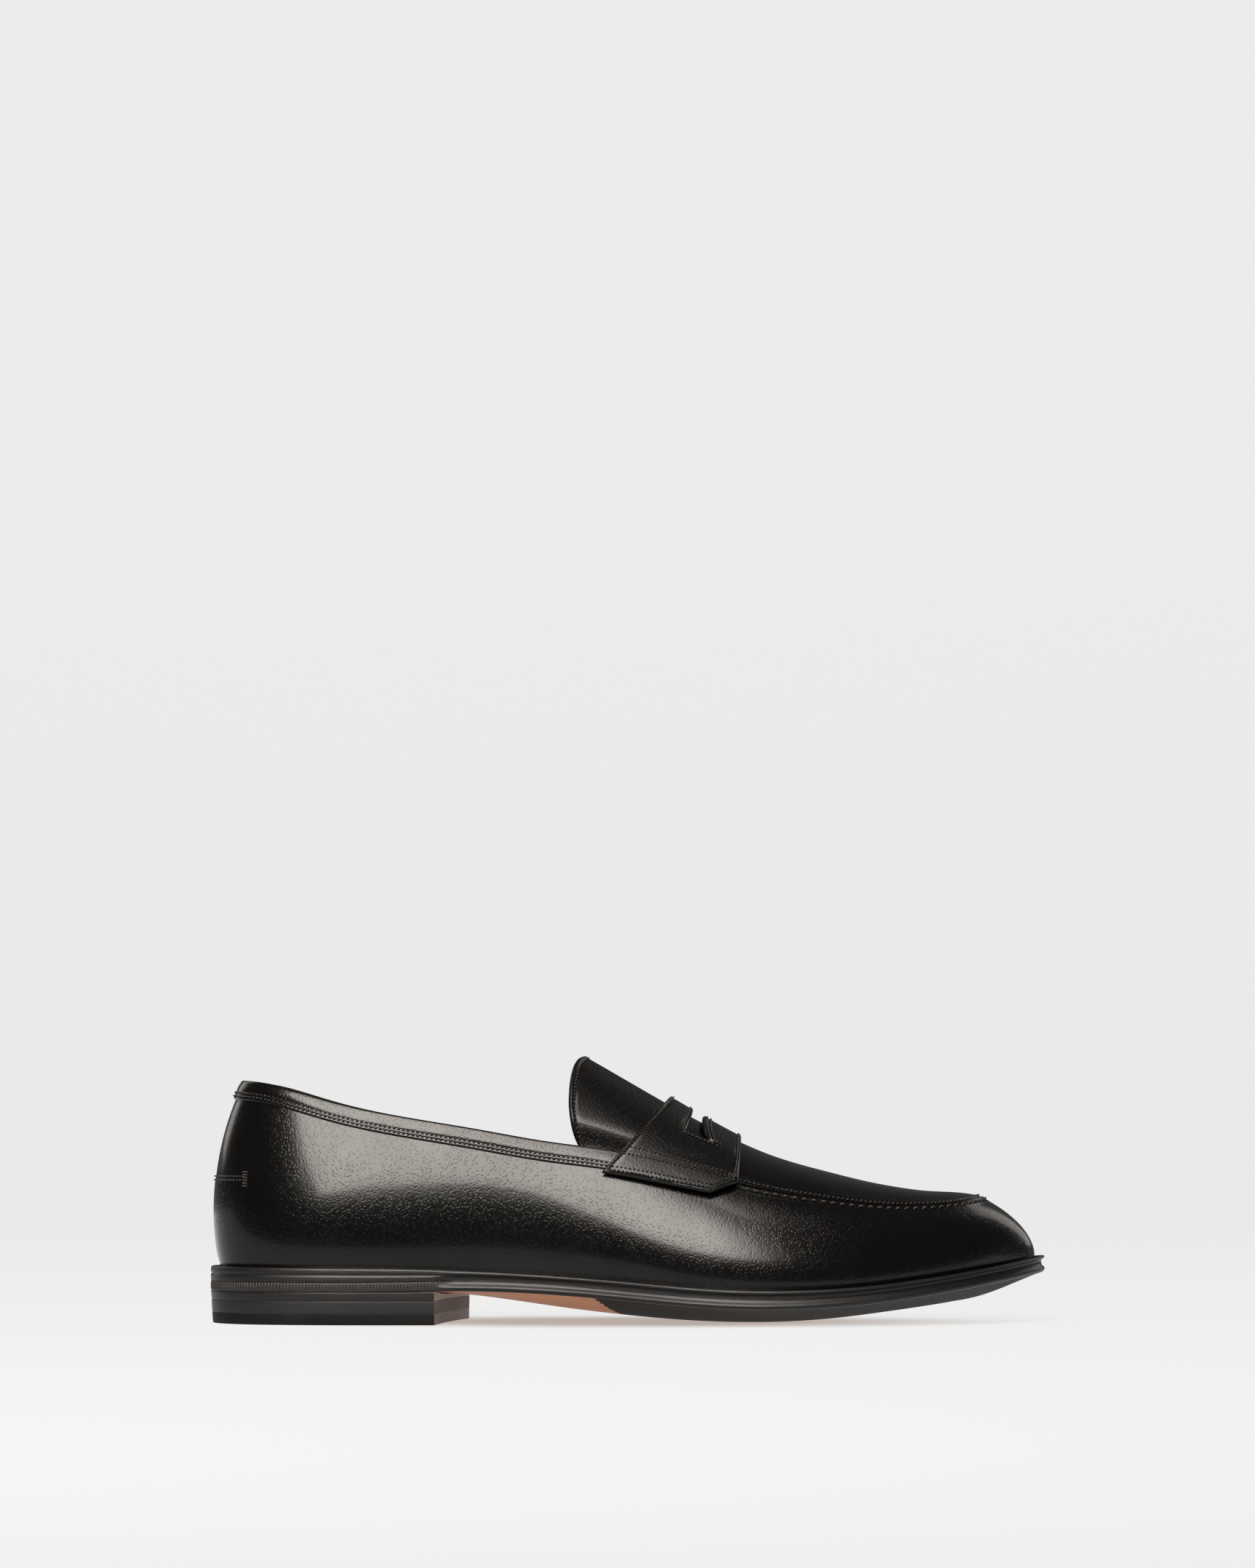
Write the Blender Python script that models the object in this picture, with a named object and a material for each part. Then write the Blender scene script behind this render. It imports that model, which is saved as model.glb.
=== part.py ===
"""Right-foot penny loafer in black calf, EU 42, built as the separate pieces that a shoemaker assembles.

Frame: metres, +Z up, +X towards the toe, +Y towards the inner (medial) side of the foot. The origin is on
the ground under the middle of the shoe. All lengths below are millimetres, turned into metres at the end.

The upper and the linings are layers of one last surface, which is read from a short table of stations that
run from the heel to the toe. Each station holds the feather line, where the upper meets the welt, and the
top line, where the wall of the upper ends in the collar or, further forward, in the moccasin seam.
"""

import bmesh
import bpy
import math
from collections import namedtuple

import numpy as np
from mathutils import Matrix, Vector

MM = 0.001
CENTRE_SHIFT_Y = -0.45  # puts the middle of the shoe's width over the origin

# Thicknesses, from the outside of the upper inwards.
GAP = 0.3
UPPER_LEATHER = 1.2
STIFFENER = 0.8
LINING = 0.8
BAND_LEATHER = 0.8
STRAP_LEATHER = 1.6
OUTSOLE = 3.5
INSOLE = 2.0
SOCK = 1.0
MARGIN_LENGTH = 8.0  # lasting margin, turned in under the insole
COLLAR_DEPTH = 7.4
TONGUE_TUCK = 4.9
TONGUE_BULGE_X, TONGUE_BULGE_Q = -21.6, 1.36
TONGUE_HINGE = (2.0, 0.0, 66.0)  # the tongue bends about a line across the shoe, by the strap's rear edge
THREAD = 0.35  # radius of a row of stitching
TOP_CLEARANCE = 1.4  # the wall and its lining end this far below the folded edge of the collar

# Heel stack, from the ground up.
TOP_PIECE = 3.9
LOWER_LIFT = 4.0
HEEL_SEAT = 11.6
NAIL_RADIUS = 0.8
NAIL_LENGTH = 3.0
BREAST_LATERAL_X = -69.0
BREAST_MEDIAL_X = -58.5
BREAST_HOLLOW = 1.6
NAIL_PLACES = ((-139, 0), (-126, 17), (-126, -17), (-100, 22), (-100, -22), (-77, 20), (-79, -21))
FOREPART_EDGE_X, FOREPART_CENTRE_X = -12.5, 0.0  # rear boundary of the rubber half sole
HALF_SOLE_DEPTH = 1.2

Station = namedtuple(
    "Station",
    "foot_x foot_lateral foot_medial foot_z top_x top_lateral top_medial top_z "
    "foot_out foot_up top_out top_down ridge_x ridge_z edge_out edge_height sole_x sole_z",
)
# One row for each station from the back of the heel to the tip of the toe. foot_* is the feather line and
# top_* the collar or moccasin seam. *_lateral and *_medial are distances to either side of the long axis.
# foot_out and foot_up lead the wall off the feather line, and top_out and top_down lead it into the top line.
# ridge_* is the crest of the instep that faces the station. edge_* is the sole's overhang and the thickness
# of its edge, and sole_* is its centre line below.
STATIONS = [
    Station(-147.6, 0, 0, 20.2, -139.6, 0, 0, 86.6, 4.4, 16,
            11.6, 23, -118, 152.0, 3.4, 8.7, -119, 11.5),
    Station(-144.2, 13.5, 13.5, 20.2, -136.6, 10.6, 10.6, 86.3, 4.4, 16,
            11, 23, -116, 151.0, 3.4, 8.7, -118, 11.5),
    Station(-134, 22.8, 22.8, 20.2, -127.5, 17.4, 17.4, 84.9, 4.2, 15.5,
            10.4, 23.5, -110, 147.6, 3.3, 8.7, -115, 11.5),
    Station(-115, 28.8, 28.6, 20.1, -109.5, 22.6, 22.6, 79.7, 3.9, 15,
            9.4, 24, -94, 138.8, 3.1, 8.6, -105, 11.5),
    Station(-88, 30.4, 29.6, 19.9, -85, 25.6, 25.6, 74.1, 3.6, 14.5,
            7.6, 22, -70, 125.6, 3.0, 8.3, -86, 11.5),
    Station(-58, 30.4, 27.2, 19.2, -57, 27.6, 27.4, 69.4, 3.5, 14,
            6.2, 20, -43, 110.6, 2.8, 7.2, -58, 9.9),
    Station(-28, 32.4, 25.2, 17.7, -30, 29.2, 28.8, 64.7, 3.3, 13,
            6.2, 18, -16, 95.6, 2.9, 6.7, -28, 5.8),
    Station(2, 38.4, 29.2, 15.5, -3, 30.4, 29.8, 60.8, 3.0, 12,
            8, 17, 9, 81.2, 3.4, 6.8, 2, 2.2),
    Station(30, 44.2, 38.6, 13.3, 24, 31.0, 30.6, 54.0, 2.7, 11,
            10, 13, 31, 69.2, 4.2, 6.8, 30, 0.2),
    Station(54, 45.6, 45.4, 12.8, 46, 30.8, 30.8, 48.4, 2.5, 11,
            10.5, 9.5, 51, 60.1, 4.5, 6.7, 54, 0.1),
    Station(78, 42.6, 47.4, 13.9, 68, 29.0, 30.4, 44.8, 2.2, 10.5,
            10.5, 8, 71, 54.2, 4.5, 6.5, 74, 1.4),
    Station(100, 35.4, 44.6, 16.3, 88, 25.4, 29.0, 42.5, 1.7, 9.5,
            10.5, 7, 86, 50.5, 4.4, 6.3, 89, 3.3),
    Station(119, 25.6, 38.2, 19.1, 105, 19.6, 25.8, 42.3, 1.0, 8.5,
            11, 6.4, 98, 48.2, 4.2, 6.1, 100, 4.9),
    Station(133.5, 14.2, 29.2, 21.5, 117.5, 12.0, 20.4, 43.3, 0.3, 7.5,
            12, 6.2, 106, 47.1, 3.9, 6.0, 107.5, 6.1),
    Station(143.4, 2.6, 18.8, 23.2, 124.8, 3.0, 13.6, 44.6, -0.2, 7,
            12.5, 6.2, 110.5, 46.8, 3.7, 5.9, 112, 6.9),
    Station(147.3, -7.6, 7.6, 23.9, 127.3, -5.6, 5.6, 45.1, -0.3, 7,
            12.7, 6.2, 112, 46.7, 3.6, 5.9, 113.5, 7.1),
]
SPINE_Y_START, SPINE_Y_END = 40.0, 127.0  # the axis bends to the inner side between these X
TOE_Y = 5.6
CROWN_FACETS = (0.0, 0.2, 0.45, 0.72, 1.0)


class Ring:
    """A smooth closed run of values round the shoe, from the heel at 0 by the outer side to the toe at half."""

    def __init__(self, stations):
        spots = [(s.foot_x, s.foot_lateral) for s in stations]
        spans = [math.dist(a, b) for a, b in zip(spots, spots[1:])]
        self.knots = np.concatenate([[0.0], np.cumsum(spans)])
        self.half = float(self.knots[-1])
        lateral = [self.channels(s, -1) for s in stations]
        medial = [self.channels(s, 1) for s in stations[-2:0:-1]]
        self.values = np.array(lateral + medial)
        self.places = np.concatenate([self.knots, 2 * self.half - self.knots[-2:0:-1]])
        self.bends = self.second_derivatives()

    @staticmethod
    def channels(s, side):
        foot_y = s.foot_lateral if side < 0 else s.foot_medial
        top_y = s.top_lateral if side < 0 else s.top_medial
        axis_y = TOE_Y * smooth((s.ridge_x - SPINE_Y_START) / (SPINE_Y_END - SPINE_Y_START))
        lines = [s.foot_x, side * foot_y, s.foot_z, s.top_x, side * top_y, s.top_z]
        leads = [s.foot_out, s.foot_up, s.top_out, s.top_down]
        sole = [s.edge_out, s.edge_height, s.sole_x, axis_y, s.sole_z]
        return lines + leads + [s.ridge_x, axis_y, s.ridge_z] + sole

    def second_derivatives(self):
        """Second derivatives of the periodic cubic spline through the stations."""
        count = len(self.places)
        step = np.diff(np.append(self.places, 2 * self.half))
        system = np.zeros((count, count))
        right = np.zeros_like(self.values)
        for i in range(count):
            before, after = step[i - 1], step[i]
            system[i, i - 1] += before
            system[i, i] += 2 * (before + after)
            system[i, (i + 1) % count] += after
            rise = (self.values[(i + 1) % count] - self.values[i]) / after
            right[i] = 6 * (rise - (self.values[i] - self.values[i - 1]) / before)
        return np.linalg.solve(system, right)

    def at(self, u):
        u = u % (2 * self.half)
        i = int(np.searchsorted(self.places, u, side="right")) - 1
        j = (i + 1) % len(self.places)
        start = self.places[i]
        end = self.places[j] if j else 2 * self.half
        step = end - start
        a, b = (end - u) / step, (u - start) / step
        curve = (a**3 - a) * self.bends[i] + (b**3 - b) * self.bends[j]
        return a * self.values[i] + b * self.values[j] + curve * step * step / 6


def smooth(x):
    x = min(1.0, max(0.0, x))
    return x * x * (3 - 2 * x)


def mix(a, b, share):
    return a + (b - a) * share


def bezier(p0, p1, p2, p3, t):
    s = 1 - t
    return s**3 * p0 + 3 * s * s * t * p1 + 3 * s * t * t * p2 + t**3 * p3


RING = Ring(STATIONS)
HALF = RING.half
UP = np.array([0.0, 0.0, 1.0])
STEP = 0.05


def outward(u):
    """The level direction that points out of the shoe at u."""
    along = RING.at(u + STEP)[:2] - RING.at(u - STEP)[:2]
    along /= np.linalg.norm(along)
    return np.array([along[1], -along[0], 0.0])


def surface(u, q):
    """The outside of the upper. q 0 is the feather line, 1 the top line and 2 the crest of the instep."""
    v = RING.at(u)
    foot, top, ridge = v[0:3], v[3:6], v[10:13]
    out = outward(u)
    if q <= 1:
        return bezier(foot, foot + out * v[6] + UP * v[7], top + out * v[8] - UP * v[9], top, q)
    reach = np.linalg.norm((ridge - top)[:2])
    rise = ridge[2] - top[2]
    inward = (ridge - top) * np.array([1.0, 1.0, 0.0])
    lift = top + inward * 0.16 + UP * rise * 0.52
    level = ridge - inward * (0.5 - 0.1 * smooth(rise / max(reach, 1.0)))
    return bezier(top, lift, level, ridge, q - 1)


def normal(u, q):
    if q > 1.99:  # the two sides meet on the crest
        side = min(u % (2 * HALF), 2 * HALF - u % (2 * HALF), HALF - 3.0)
        crest = RING.at(side + 1.0)[10:13] - RING.at(side - 1.0)[10:13]
        found = np.array([-crest[2], 0.0, crest[0]])
        return found / np.linalg.norm(found)
    low, high = (q - 0.004, q) if abs(q - 1) < 0.004 else (q, q + 0.004)
    across = surface(u, high) - surface(u, low)
    along = surface(u + STEP, q) - surface(u - STEP, q)
    found = np.cross(along, across)
    return found / np.linalg.norm(found)


def on_upper(u, q, offset):
    return surface(u, q) + normal(u, q) * offset


def find(test, low, high):
    """The place between low and high where test turns from negative to positive."""
    for _ in range(40):
        middle = (low + high) / 2
        if test(middle) < 0:
            low = middle
        else:
            high = middle
    return (low + high) / 2


def top_at(x, side=-1):
    """Where the top line passes x, on the outer (-1) or the inner (1) side."""
    found = find(lambda u: RING.at(u)[3] - x, 0.0, HALF)
    return found if side < 0 else 2 * HALF - found


def below_top(u, distance):
    """q that lies this far below the top line, along the wall."""
    top = surface(u, 1.0)
    return find(lambda q: distance - np.linalg.norm(surface(u, q) - top), 0.3, 1.0)


def round_the_shoe(pieces=2):
    """Places all the way round, closer together where the outline turns."""
    spans = zip(RING.knots, RING.knots[1:])
    half = [mix(a, b, k / pieces) for a, b in spans for k in range(pieces)] + [HALF]
    return half + [2 * HALF - u for u in half[-2:0:-1]]


def between(start, end, count):
    return [mix(start, end, k / (count - 1)) for k in range(count)]


def places_between(start, end):
    """The round-the-shoe places inside a stretch, with its two ends."""
    ahead = round_the_shoe()
    everywhere = sorted(set(ahead) | {u - 2 * HALF for u in ahead})
    return [start] + [u for u in everywhere if start + 2 < u < end - 2] + [end]


# ---------------------------------------------------------------- meshes


def add_object(name, points, faces, material):
    """One closed solid from points in millimetres and faces as index lists."""
    mesh = bpy.data.meshes.new(name)
    shift = np.array([0.0, CENTRE_SHIFT_Y, 0.0])
    mesh.from_pydata([tuple((np.asarray(p) + shift) * MM) for p in points], [], faces)
    work = bmesh.new()
    work.from_mesh(mesh)
    bmesh.ops.recalc_face_normals(work, faces=work.faces)
    if work.calc_volume(signed=True) < 0:
        bmesh.ops.reverse_faces(work, faces=work.faces)
    work.to_mesh(mesh)
    work.free()
    mesh.materials.append(material)
    mesh.shade_smooth()
    mesh.set_sharp_from_angle(angle=math.radians(40))
    obj = bpy.data.objects.new(name, mesh)
    bpy.context.scene.collection.objects.link(obj)
    return obj


def put_origin(obj, place):
    """Moves the object's origin to a place in millimetres, and leaves its shape where it is."""
    origin = Vector(place) * MM
    obj.data.transform(Matrix.Translation(-origin))
    obj.location = origin


class Weld:
    """Gives each point an index, and the same index to points in the same place."""

    def __init__(self):
        self.points = []
        self.seen = {}

    def __call__(self, point):
        key = tuple(np.round(point, 3))
        if key not in self.seen:
            self.seen[key] = len(self.points)
            self.points.append(point)
        return self.seen[key]


def quads(index, wrap_rows=False, wrap_columns=False, skip=None):
    """Faces over a grid of indices, leaving out those that fold up to nothing."""
    rows, columns = len(index), len(index[0])
    faces = []
    for i in range(rows if wrap_rows else rows - 1):
        for j in range(columns if wrap_columns else columns - 1):
            if skip and skip(i, j):
                continue
            k, m = (i + 1) % rows, (j + 1) % columns
            face = [index[i][j], index[k][j], index[k][m], index[i][m]]
            face = [v for n, v in enumerate(face) if v != face[n - 1]]
            if len(set(face)) >= 3:
                faces.append(face)
    return faces


def closed_skin(name, grid, material, wrap_rows=True, wrap_columns=False):
    """A solid whose whole surface is the grid. Points that coincide are welded."""
    weld = Weld()
    index = [[weld(p) for p in row] for row in grid]
    return add_object(name, weld.points, quads(index, wrap_rows, wrap_columns), material)


def layer(name, grid, material, outer, inner, wrap_rows=False, skip=None):
    """A sheet of leather over a grid of (u, q) places, between two offsets or functions of u and q."""
    def offset(value, u, q):
        return value(u, q) if callable(value) else value

    weld = Weld()
    index, outside, inside = [], {}, {}
    for row in grid:
        line = []
        for u, q in row:
            base = surface(u, q)
            found = weld(base)
            if found not in outside:
                n = normal(u, q)
                outside[found] = base + n * offset(outer, u, q)
                inside[found] = base + n * offset(inner, u, q)
            line.append(found)
        index.append(line)
    faces = quads(index, wrap_rows, False, skip)
    count = len(weld.points)
    points = [outside[i] for i in range(count)] + [inside[i] for i in range(count)]
    edges = {(a, b) for face in faces for a, b in zip(face, face[1:] + face[:1])}
    rim = [[b, a, a + count, b + count] for a, b in sorted(edges) if (b, a) not in edges]
    back = [[v + count for v in reversed(face)] for face in faces]
    return add_object(name, points, faces + back + rim, material)


def tube(name, path, radius, material, sides=5, closed=False):
    """A row of thread along a path of points."""
    path = [np.asarray(p) for p in path]
    count = len(path)
    grid = []
    for i, p in enumerate(path):
        before = path[i - 1] if closed or i else path[i]
        after = path[(i + 1) % count] if closed or i < count - 1 else path[i]
        along = (after - before) / np.linalg.norm(after - before)
        side = np.cross(along, UP)
        side /= np.linalg.norm(side)
        rise = np.cross(side, along)
        grid.append([p + radius * (side * math.cos(a) + rise * math.sin(a))
                     for a in (2 * math.pi * k / sides for k in range(sides))])
    weld = Weld()
    index = [[weld(p) for p in row] for row in grid]
    faces = quads(index, closed, True)
    if not closed:
        faces += [index[0][::-1], index[-1]]
    return add_object(name, weld.points, faces, material)


def cut(target, cutter):
    """Takes the cutter's shape out of the target for good."""
    modifier = target.modifiers.new("hole", "BOOLEAN")
    modifier.operation = "DIFFERENCE"
    modifier.solver = "EXACT"
    modifier.object = cutter
    cutter.hide_render = True
    cutter.display_type = "WIRE"


def cylinder(name, centre, radius, length, material, sides=10):
    """An upright cylinder that stands on centre."""
    angles = [2 * math.pi * k / sides for k in range(sides)]
    ring = [(math.cos(a), math.sin(a)) for a in angles]
    low = [np.array([centre[0] + radius * c, centre[1] + radius * s, centre[2]]) for c, s in ring]
    high = [p + UP * length for p in low]
    walls = [[k, (k + 1) % sides, (k + 1) % sides + sides, k + sides] for k in range(sides)]
    caps = [list(range(sides))[::-1], list(range(sides, 2 * sides))]
    return add_object(name, low + high, walls + caps, material)


def material(name, colour, roughness, metallic=0.0):
    made = bpy.data.materials.new(name)
    made.use_nodes = True
    shader = made.node_tree.nodes["Principled BSDF"]
    shader.inputs["Base Color"].default_value = (*colour, 1.0)
    shader.inputs["Roughness"].default_value = roughness
    shader.inputs["Metallic"].default_value = metallic
    made.diffuse_color = (*colour, 1.0)
    return made


# ---------------------------------------------------------------- upper


def lining_outer(u, q):
    """The lining steps inwards low down, where the stiffeners lie behind the leather."""
    return -UPPER_LEATHER - GAP - (STIFFENER + GAP) * (1 - smooth((q - 0.62) / 0.14))


def lining_inner(u, q):
    return lining_outer(u, q) - LINING


def full_lining_outer(u, q):
    return -UPPER_LEATHER - GAP - (STIFFENER + GAP)


def full_lining_inner(u, q):
    return full_lining_outer(u, q) - LINING


TONGUE_FRONT = top_at(6.0)
APRON_REAR = top_at(12.5)
QUARTER_END = top_at(4.0)
COLLAR_END = top_at(3.0)


def collar_rows(u):
    """Heights that the wall, its lining and the collar band share, so that they lie flat on each other."""
    return [below_top(u, COLLAR_DEPTH), below_top(u, 5.0), below_top(u, TOP_CLEARANCE)]


def make_vamp_quarter(leather):
    """The one-piece wall of the upper, from its margin under the insole to the collar and the moccasin seam."""
    grid = []
    low, high = OUTSOLE + GAP, OUTSOLE + GAP + UPPER_LEATHER
    for u in round_the_shoe():
        heights = [0.12, 0.26, 0.44, 0.62, 0.76] + collar_rows(u)
        outer = [on_upper(u, q, 0.0) for q in [0.0] + heights]
        inner = [on_upper(u, q, -UPPER_LEATHER) for q in heights]
        toe, heel = feather_share(u, MARGIN_LENGTH), feather_share(u, 0.2)
        margin = [sole_point(u, toe, low), sole_point(u, heel, low)]
        back = [sole_point(u, feather_share(u, 1.6), high + 0.2), sole_point(u, toe, high)]
        grid.append(margin + outer + inner[::-1] + back)
    return closed_skin("vamp_quarter", grid, leather, True, True)


def both_sides(u_values, q_values):
    """Rows across the instep, from the outer side over the crest to the inner side."""
    return [[(u, q) for q in q_values] + [(2 * HALF - u, q) for q in q_values[-2::-1]] for u in u_values]


def make_apron(leather):
    """The plug over the toes. Its edge butts against the wall along the moccasin seam."""
    rows = places_between(APRON_REAR, HALF)
    return layer("apron", both_sides(rows, [1.03, 1.2, 1.4, 1.6, 1.8, 2.0]), leather, 0.0, -UPPER_LEATHER)


def make_vamp_lining(leather):
    """Lining of the forepart, under the wall and the apron."""
    rows = places_between(APRON_REAR, HALF)
    heights = [0.2, 0.34, 0.56, 0.78, 0.97, 1.15, 1.4, 1.7, 2.0]
    return layer("vamp_lining", both_sides(rows, heights), leather, full_lining_outer, full_lining_inner)


def make_quarter_lining(leather):
    """Lining of the rear part and the foot opening."""
    rows = places_between(-QUARTER_END, QUARTER_END)
    grid = [[(u, q) for q in [0.18, 0.26, 0.44, 0.62, 0.76] + collar_rows(u)] for u in rows]
    return layer("quarter_lining", grid, leather, lining_outer, lining_inner)


def make_heel_counter(board):
    """Stiffener moulded round the heel between the wall and its lining."""
    end = top_at(-72.0)
    rows = places_between(-end, end)

    def height(u):
        return 0.6 - 0.24 * (abs(u) / end) ** 2

    grid = [[(u, mix(0.14, height(u), k / 3)) for k in range(4)] for u in rows]
    start = -UPPER_LEATHER - GAP
    return layer("heel_counter", grid, board, start, start - STIFFENER)


def make_toe_puff(board):
    """Stiffener that holds the shape of the toe."""
    rows = places_between(top_at(100.0), HALF)
    start = -UPPER_LEATHER - GAP
    heights = [0.2, 0.34, 0.56, 0.78, 0.97, 1.15, 1.4]
    grid = [[(u, q) for q in heights] for u in rows + [2 * HALF - u for u in rows[-2::-1]]]
    return layer("toe_puff", grid, board, start, start - STIFFENER)


def make_collar_band(leather):
    """Folded band that covers the edge of the foot opening."""
    rows = places_between(-COLLAR_END, COLLAR_END)
    near, far = GAP, GAP + BAND_LEATHER
    deep = -UPPER_LEATHER - GAP - LINING - GAP
    grid = []
    for u in rows:
        low, middle, high = collar_rows(u)
        fold = below_top(u, 0.8)
        grid.append([
            on_upper(u, low, near),
            on_upper(u, low, far),
            on_upper(u, middle, far),
            on_upper(u, fold, far),
            on_upper(u, 1.0, -0.4) + UP * 0.5,
            on_upper(u, 1.0, deep + 0.6) + UP * 0.4,
            on_upper(u, fold, deep - BAND_LEATHER),
            on_upper(u, middle, deep - BAND_LEATHER),
            on_upper(u, middle, deep),
            on_upper(u, high, deep),
            on_upper(u, fold, deep + 0.4),
            on_upper(u, fold, near - 0.4),
            on_upper(u, high, near),
            on_upper(u, middle, near),
        ])
    weld = Weld()
    index = [[weld(p) for p in row] for row in grid]
    faces = quads(index, False, True) + [index[0][::-1], index[-1]]
    return add_object("collar_band", weld.points, faces, leather)


def tongue_edge(q):
    """u of the tongue's rear edge, which bulges backwards and is rounded off low down, behind the collar."""
    if q > TONGUE_BULGE_Q:
        x = TONGUE_BULGE_X + 5.2 * ((q - TONGUE_BULGE_Q) / (2 - TONGUE_BULGE_Q)) ** 2
    else:
        share = (TONGUE_BULGE_Q - q) / (TONGUE_BULGE_Q - 0.9)
        x = TONGUE_BULGE_X + 14.0 * (1 - math.sqrt(1 - share * share))
    return find(lambda u: surface(u, q)[0] - x, top_at(-70.0), top_at(6.0))


def tongue_grid():
    heights = [0.93, 1.0, 1.08, 1.18, 1.32, 1.46, 1.6, 1.8, 2.0]
    columns = between(0.0, 1.0, 6)
    half = [[(mix(TONGUE_FRONT, tongue_edge(q), a), q) for q in heights] for a in columns]
    return [row + [(2 * HALF - u, q) for u, q in row[-2::-1]] for row in half]


def tongue_outer(u, q):
    """The tongue's sides tuck in behind the collar."""
    return -TONGUE_TUCK * (1 - smooth((q - 1.02) / 0.26))


def make_tongue(leather, lining):
    grid = tongue_grid()
    step = UPPER_LEATHER + GAP
    tongue = layer("tongue", grid, leather, tongue_outer, lambda u, q: tongue_outer(u, q) - UPPER_LEATHER)
    backing = [row[1:-1] for row in grid]
    near, far = (lambda u, q: tongue_outer(u, q) - step), (lambda u, q: tongue_outer(u, q) - step - LINING)
    for piece in (tongue, layer("tongue_lining", backing, lining, near, far)):
        put_origin(piece, TONGUE_HINGE)


# Side view of the saddle strap: its rear edge leans back and its front edge is nearly upright.
STRAP_REAR_LOW = (-9.8, 53.0)
STRAP_REAR_HIGH = (15.0, 80.5)
STRAP_FRONT_LOW = (38.4, 50.0)
STRAP_FRONT_HIGH = (40.0, 66.0)
TAB_CORNER = (28.6, 45.4)
SLOT_END_LENGTH = 10.0
SLOT_MIDDLE_LENGTH = 4.2
SLOT_END_Q = 1.47


def line_x(low, high, z):
    return mix(low[0], high[0], (z - low[1]) / (high[1] - low[1]))


def edge_place(low, high, q):
    """u where the strap edge through low and high crosses height q."""
    def ahead(u):
        p = surface(u, q)
        return p[0] - line_x(low, high, p[2])

    return find(ahead, top_at(-60.0), top_at(80.0))


def strap_offset(u, q):
    """The strap stands a little prouder at its rear edge, where it lies over the tongue."""
    share = (u - top_at(-6.0)) / (top_at(40.0) - top_at(-6.0))
    return mix(1.4, 0.5, smooth(share))


def strap_outer(u, q):
    return strap_offset(u, q) + STRAP_LEATHER


def slot_share(q):
    """Where the slot starts and ends between the strap's rear edge (0) and front edge (1), at height q."""
    rear = edge_place(STRAP_REAR_LOW, STRAP_REAR_HIGH, q)
    front = edge_place(STRAP_FRONT_LOW, STRAP_FRONT_HIGH, q)
    width = np.linalg.norm(surface(front, q) - surface(rear, q))
    away = (2.0 - q) / (2.0 - SLOT_END_Q)
    bow = 1 - math.sqrt(max(0.0, 1 - away * away))
    start = mix(0.34, 0.39, away)
    return start, start + mix(SLOT_MIDDLE_LENGTH, SLOT_END_LENGTH, bow) / width


def make_strap(leather):
    """The saddle strap over the instep, with the slot that gives the shoe its name."""
    heights = [1.005, 1.1, 1.28, SLOT_END_Q, 1.51, 1.6, 1.73, 1.87, 2.0]
    half = []
    for q in heights:
        rear = edge_place(STRAP_REAR_LOW, STRAP_REAR_HIGH, q)
        front = edge_place(STRAP_FRONT_LOW, STRAP_FRONT_HIGH, q)
        start, end = slot_share(max(q, SLOT_END_Q))
        shares = [0.0, start / 2, start, end, mix(end, 1.0, 0.5), 1.0]
        half.append([(mix(rear, front, a), q) for a in shares])
    grid = half + [[(2 * HALF - u, q) for u, q in row] for row in half[-2::-1]]
    first = heights.index(SLOT_END_Q)
    last = len(grid) - 1 - first
    in_slot = lambda i, j: j == 2 and first <= i < last
    return layer("saddle_strap", grid, leather, strap_outer, strap_offset, skip=in_slot)


def wall_place(x, z):
    """(u, q) of the point on the outer wall that a side view shows at x, z."""
    u = top_at(x)
    for _ in range(12):
        q = find(lambda v: surface(u, v)[2] - z, 0.0, 1.0)
        u += x - surface(u, q)[0]
    return u, q


def make_tab(name, side, leather):
    """Lower end of the strap, sewn to the wall below the top line."""
    top_q = 0.985
    rear = edge_place(STRAP_REAR_LOW, STRAP_REAR_HIGH, top_q)
    front = edge_place(STRAP_FRONT_LOW, STRAP_FRONT_HIGH, top_q)
    low_rear = wall_place(*STRAP_REAR_LOW)
    low_corner = wall_place(*TAB_CORNER)
    low_front = wall_place(STRAP_FRONT_LOW[0], STRAP_FRONT_LOW[1] - 1.4)
    split = 0.8
    grid = []
    for a in between(0.0, split, 5) + [1.0]:
        low = (mix(low_rear[0], low_corner[0], a / split), mix(low_rear[1], low_corner[1], a / split))
        if a == 1.0:
            low = low_front
        high = (mix(rear, front, a), top_q)
        line = [(mix(low[0], high[0], b), mix(low[1], high[1], b)) for b in (0.0, 0.5, 1.0)]
        grid.append([(u if side < 0 else 2 * HALF - u, q) for u, q in line])
    base = GAP + BAND_LEATHER + GAP
    return layer(name, grid, leather, base + STRAP_LEATHER, base)


# ---------------------------------------------------------------- bottom


def crown(share):
    """How far the underside has come down from the edge (0) to the centre line (1), in flat facets."""
    for low, high in zip(CROWN_FACETS, CROWN_FACETS[1:]):
        if share <= high:
            start, end = (math.sin(math.pi / 2 * s) ** 1.2 for s in (low, high))
            return mix(start, end, (share - low) / (high - low))
    return 1.0


def sole_point(u, share, height):
    """A point over the sole. share is 0 at its edge and 1 on its centre line; height is above the underside."""
    v = RING.at(u)
    edge = v[0:3] + outward(u) * v[13] - UP * v[14]
    p = mix(edge, v[15:18], share)
    p[2] = mix(edge[2], v[17], crown(max(0.0, share))) + height
    return p


def share_at(u, distance):
    """Share of the way from the sole's edge to its centre line that lies this far in from the edge."""
    edge, spine = sole_point(u, 0.0, 0.0), sole_point(u, 1.0, 0.0)
    return distance / max(np.linalg.norm((spine - edge)[:2]), 1e-6)


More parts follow.
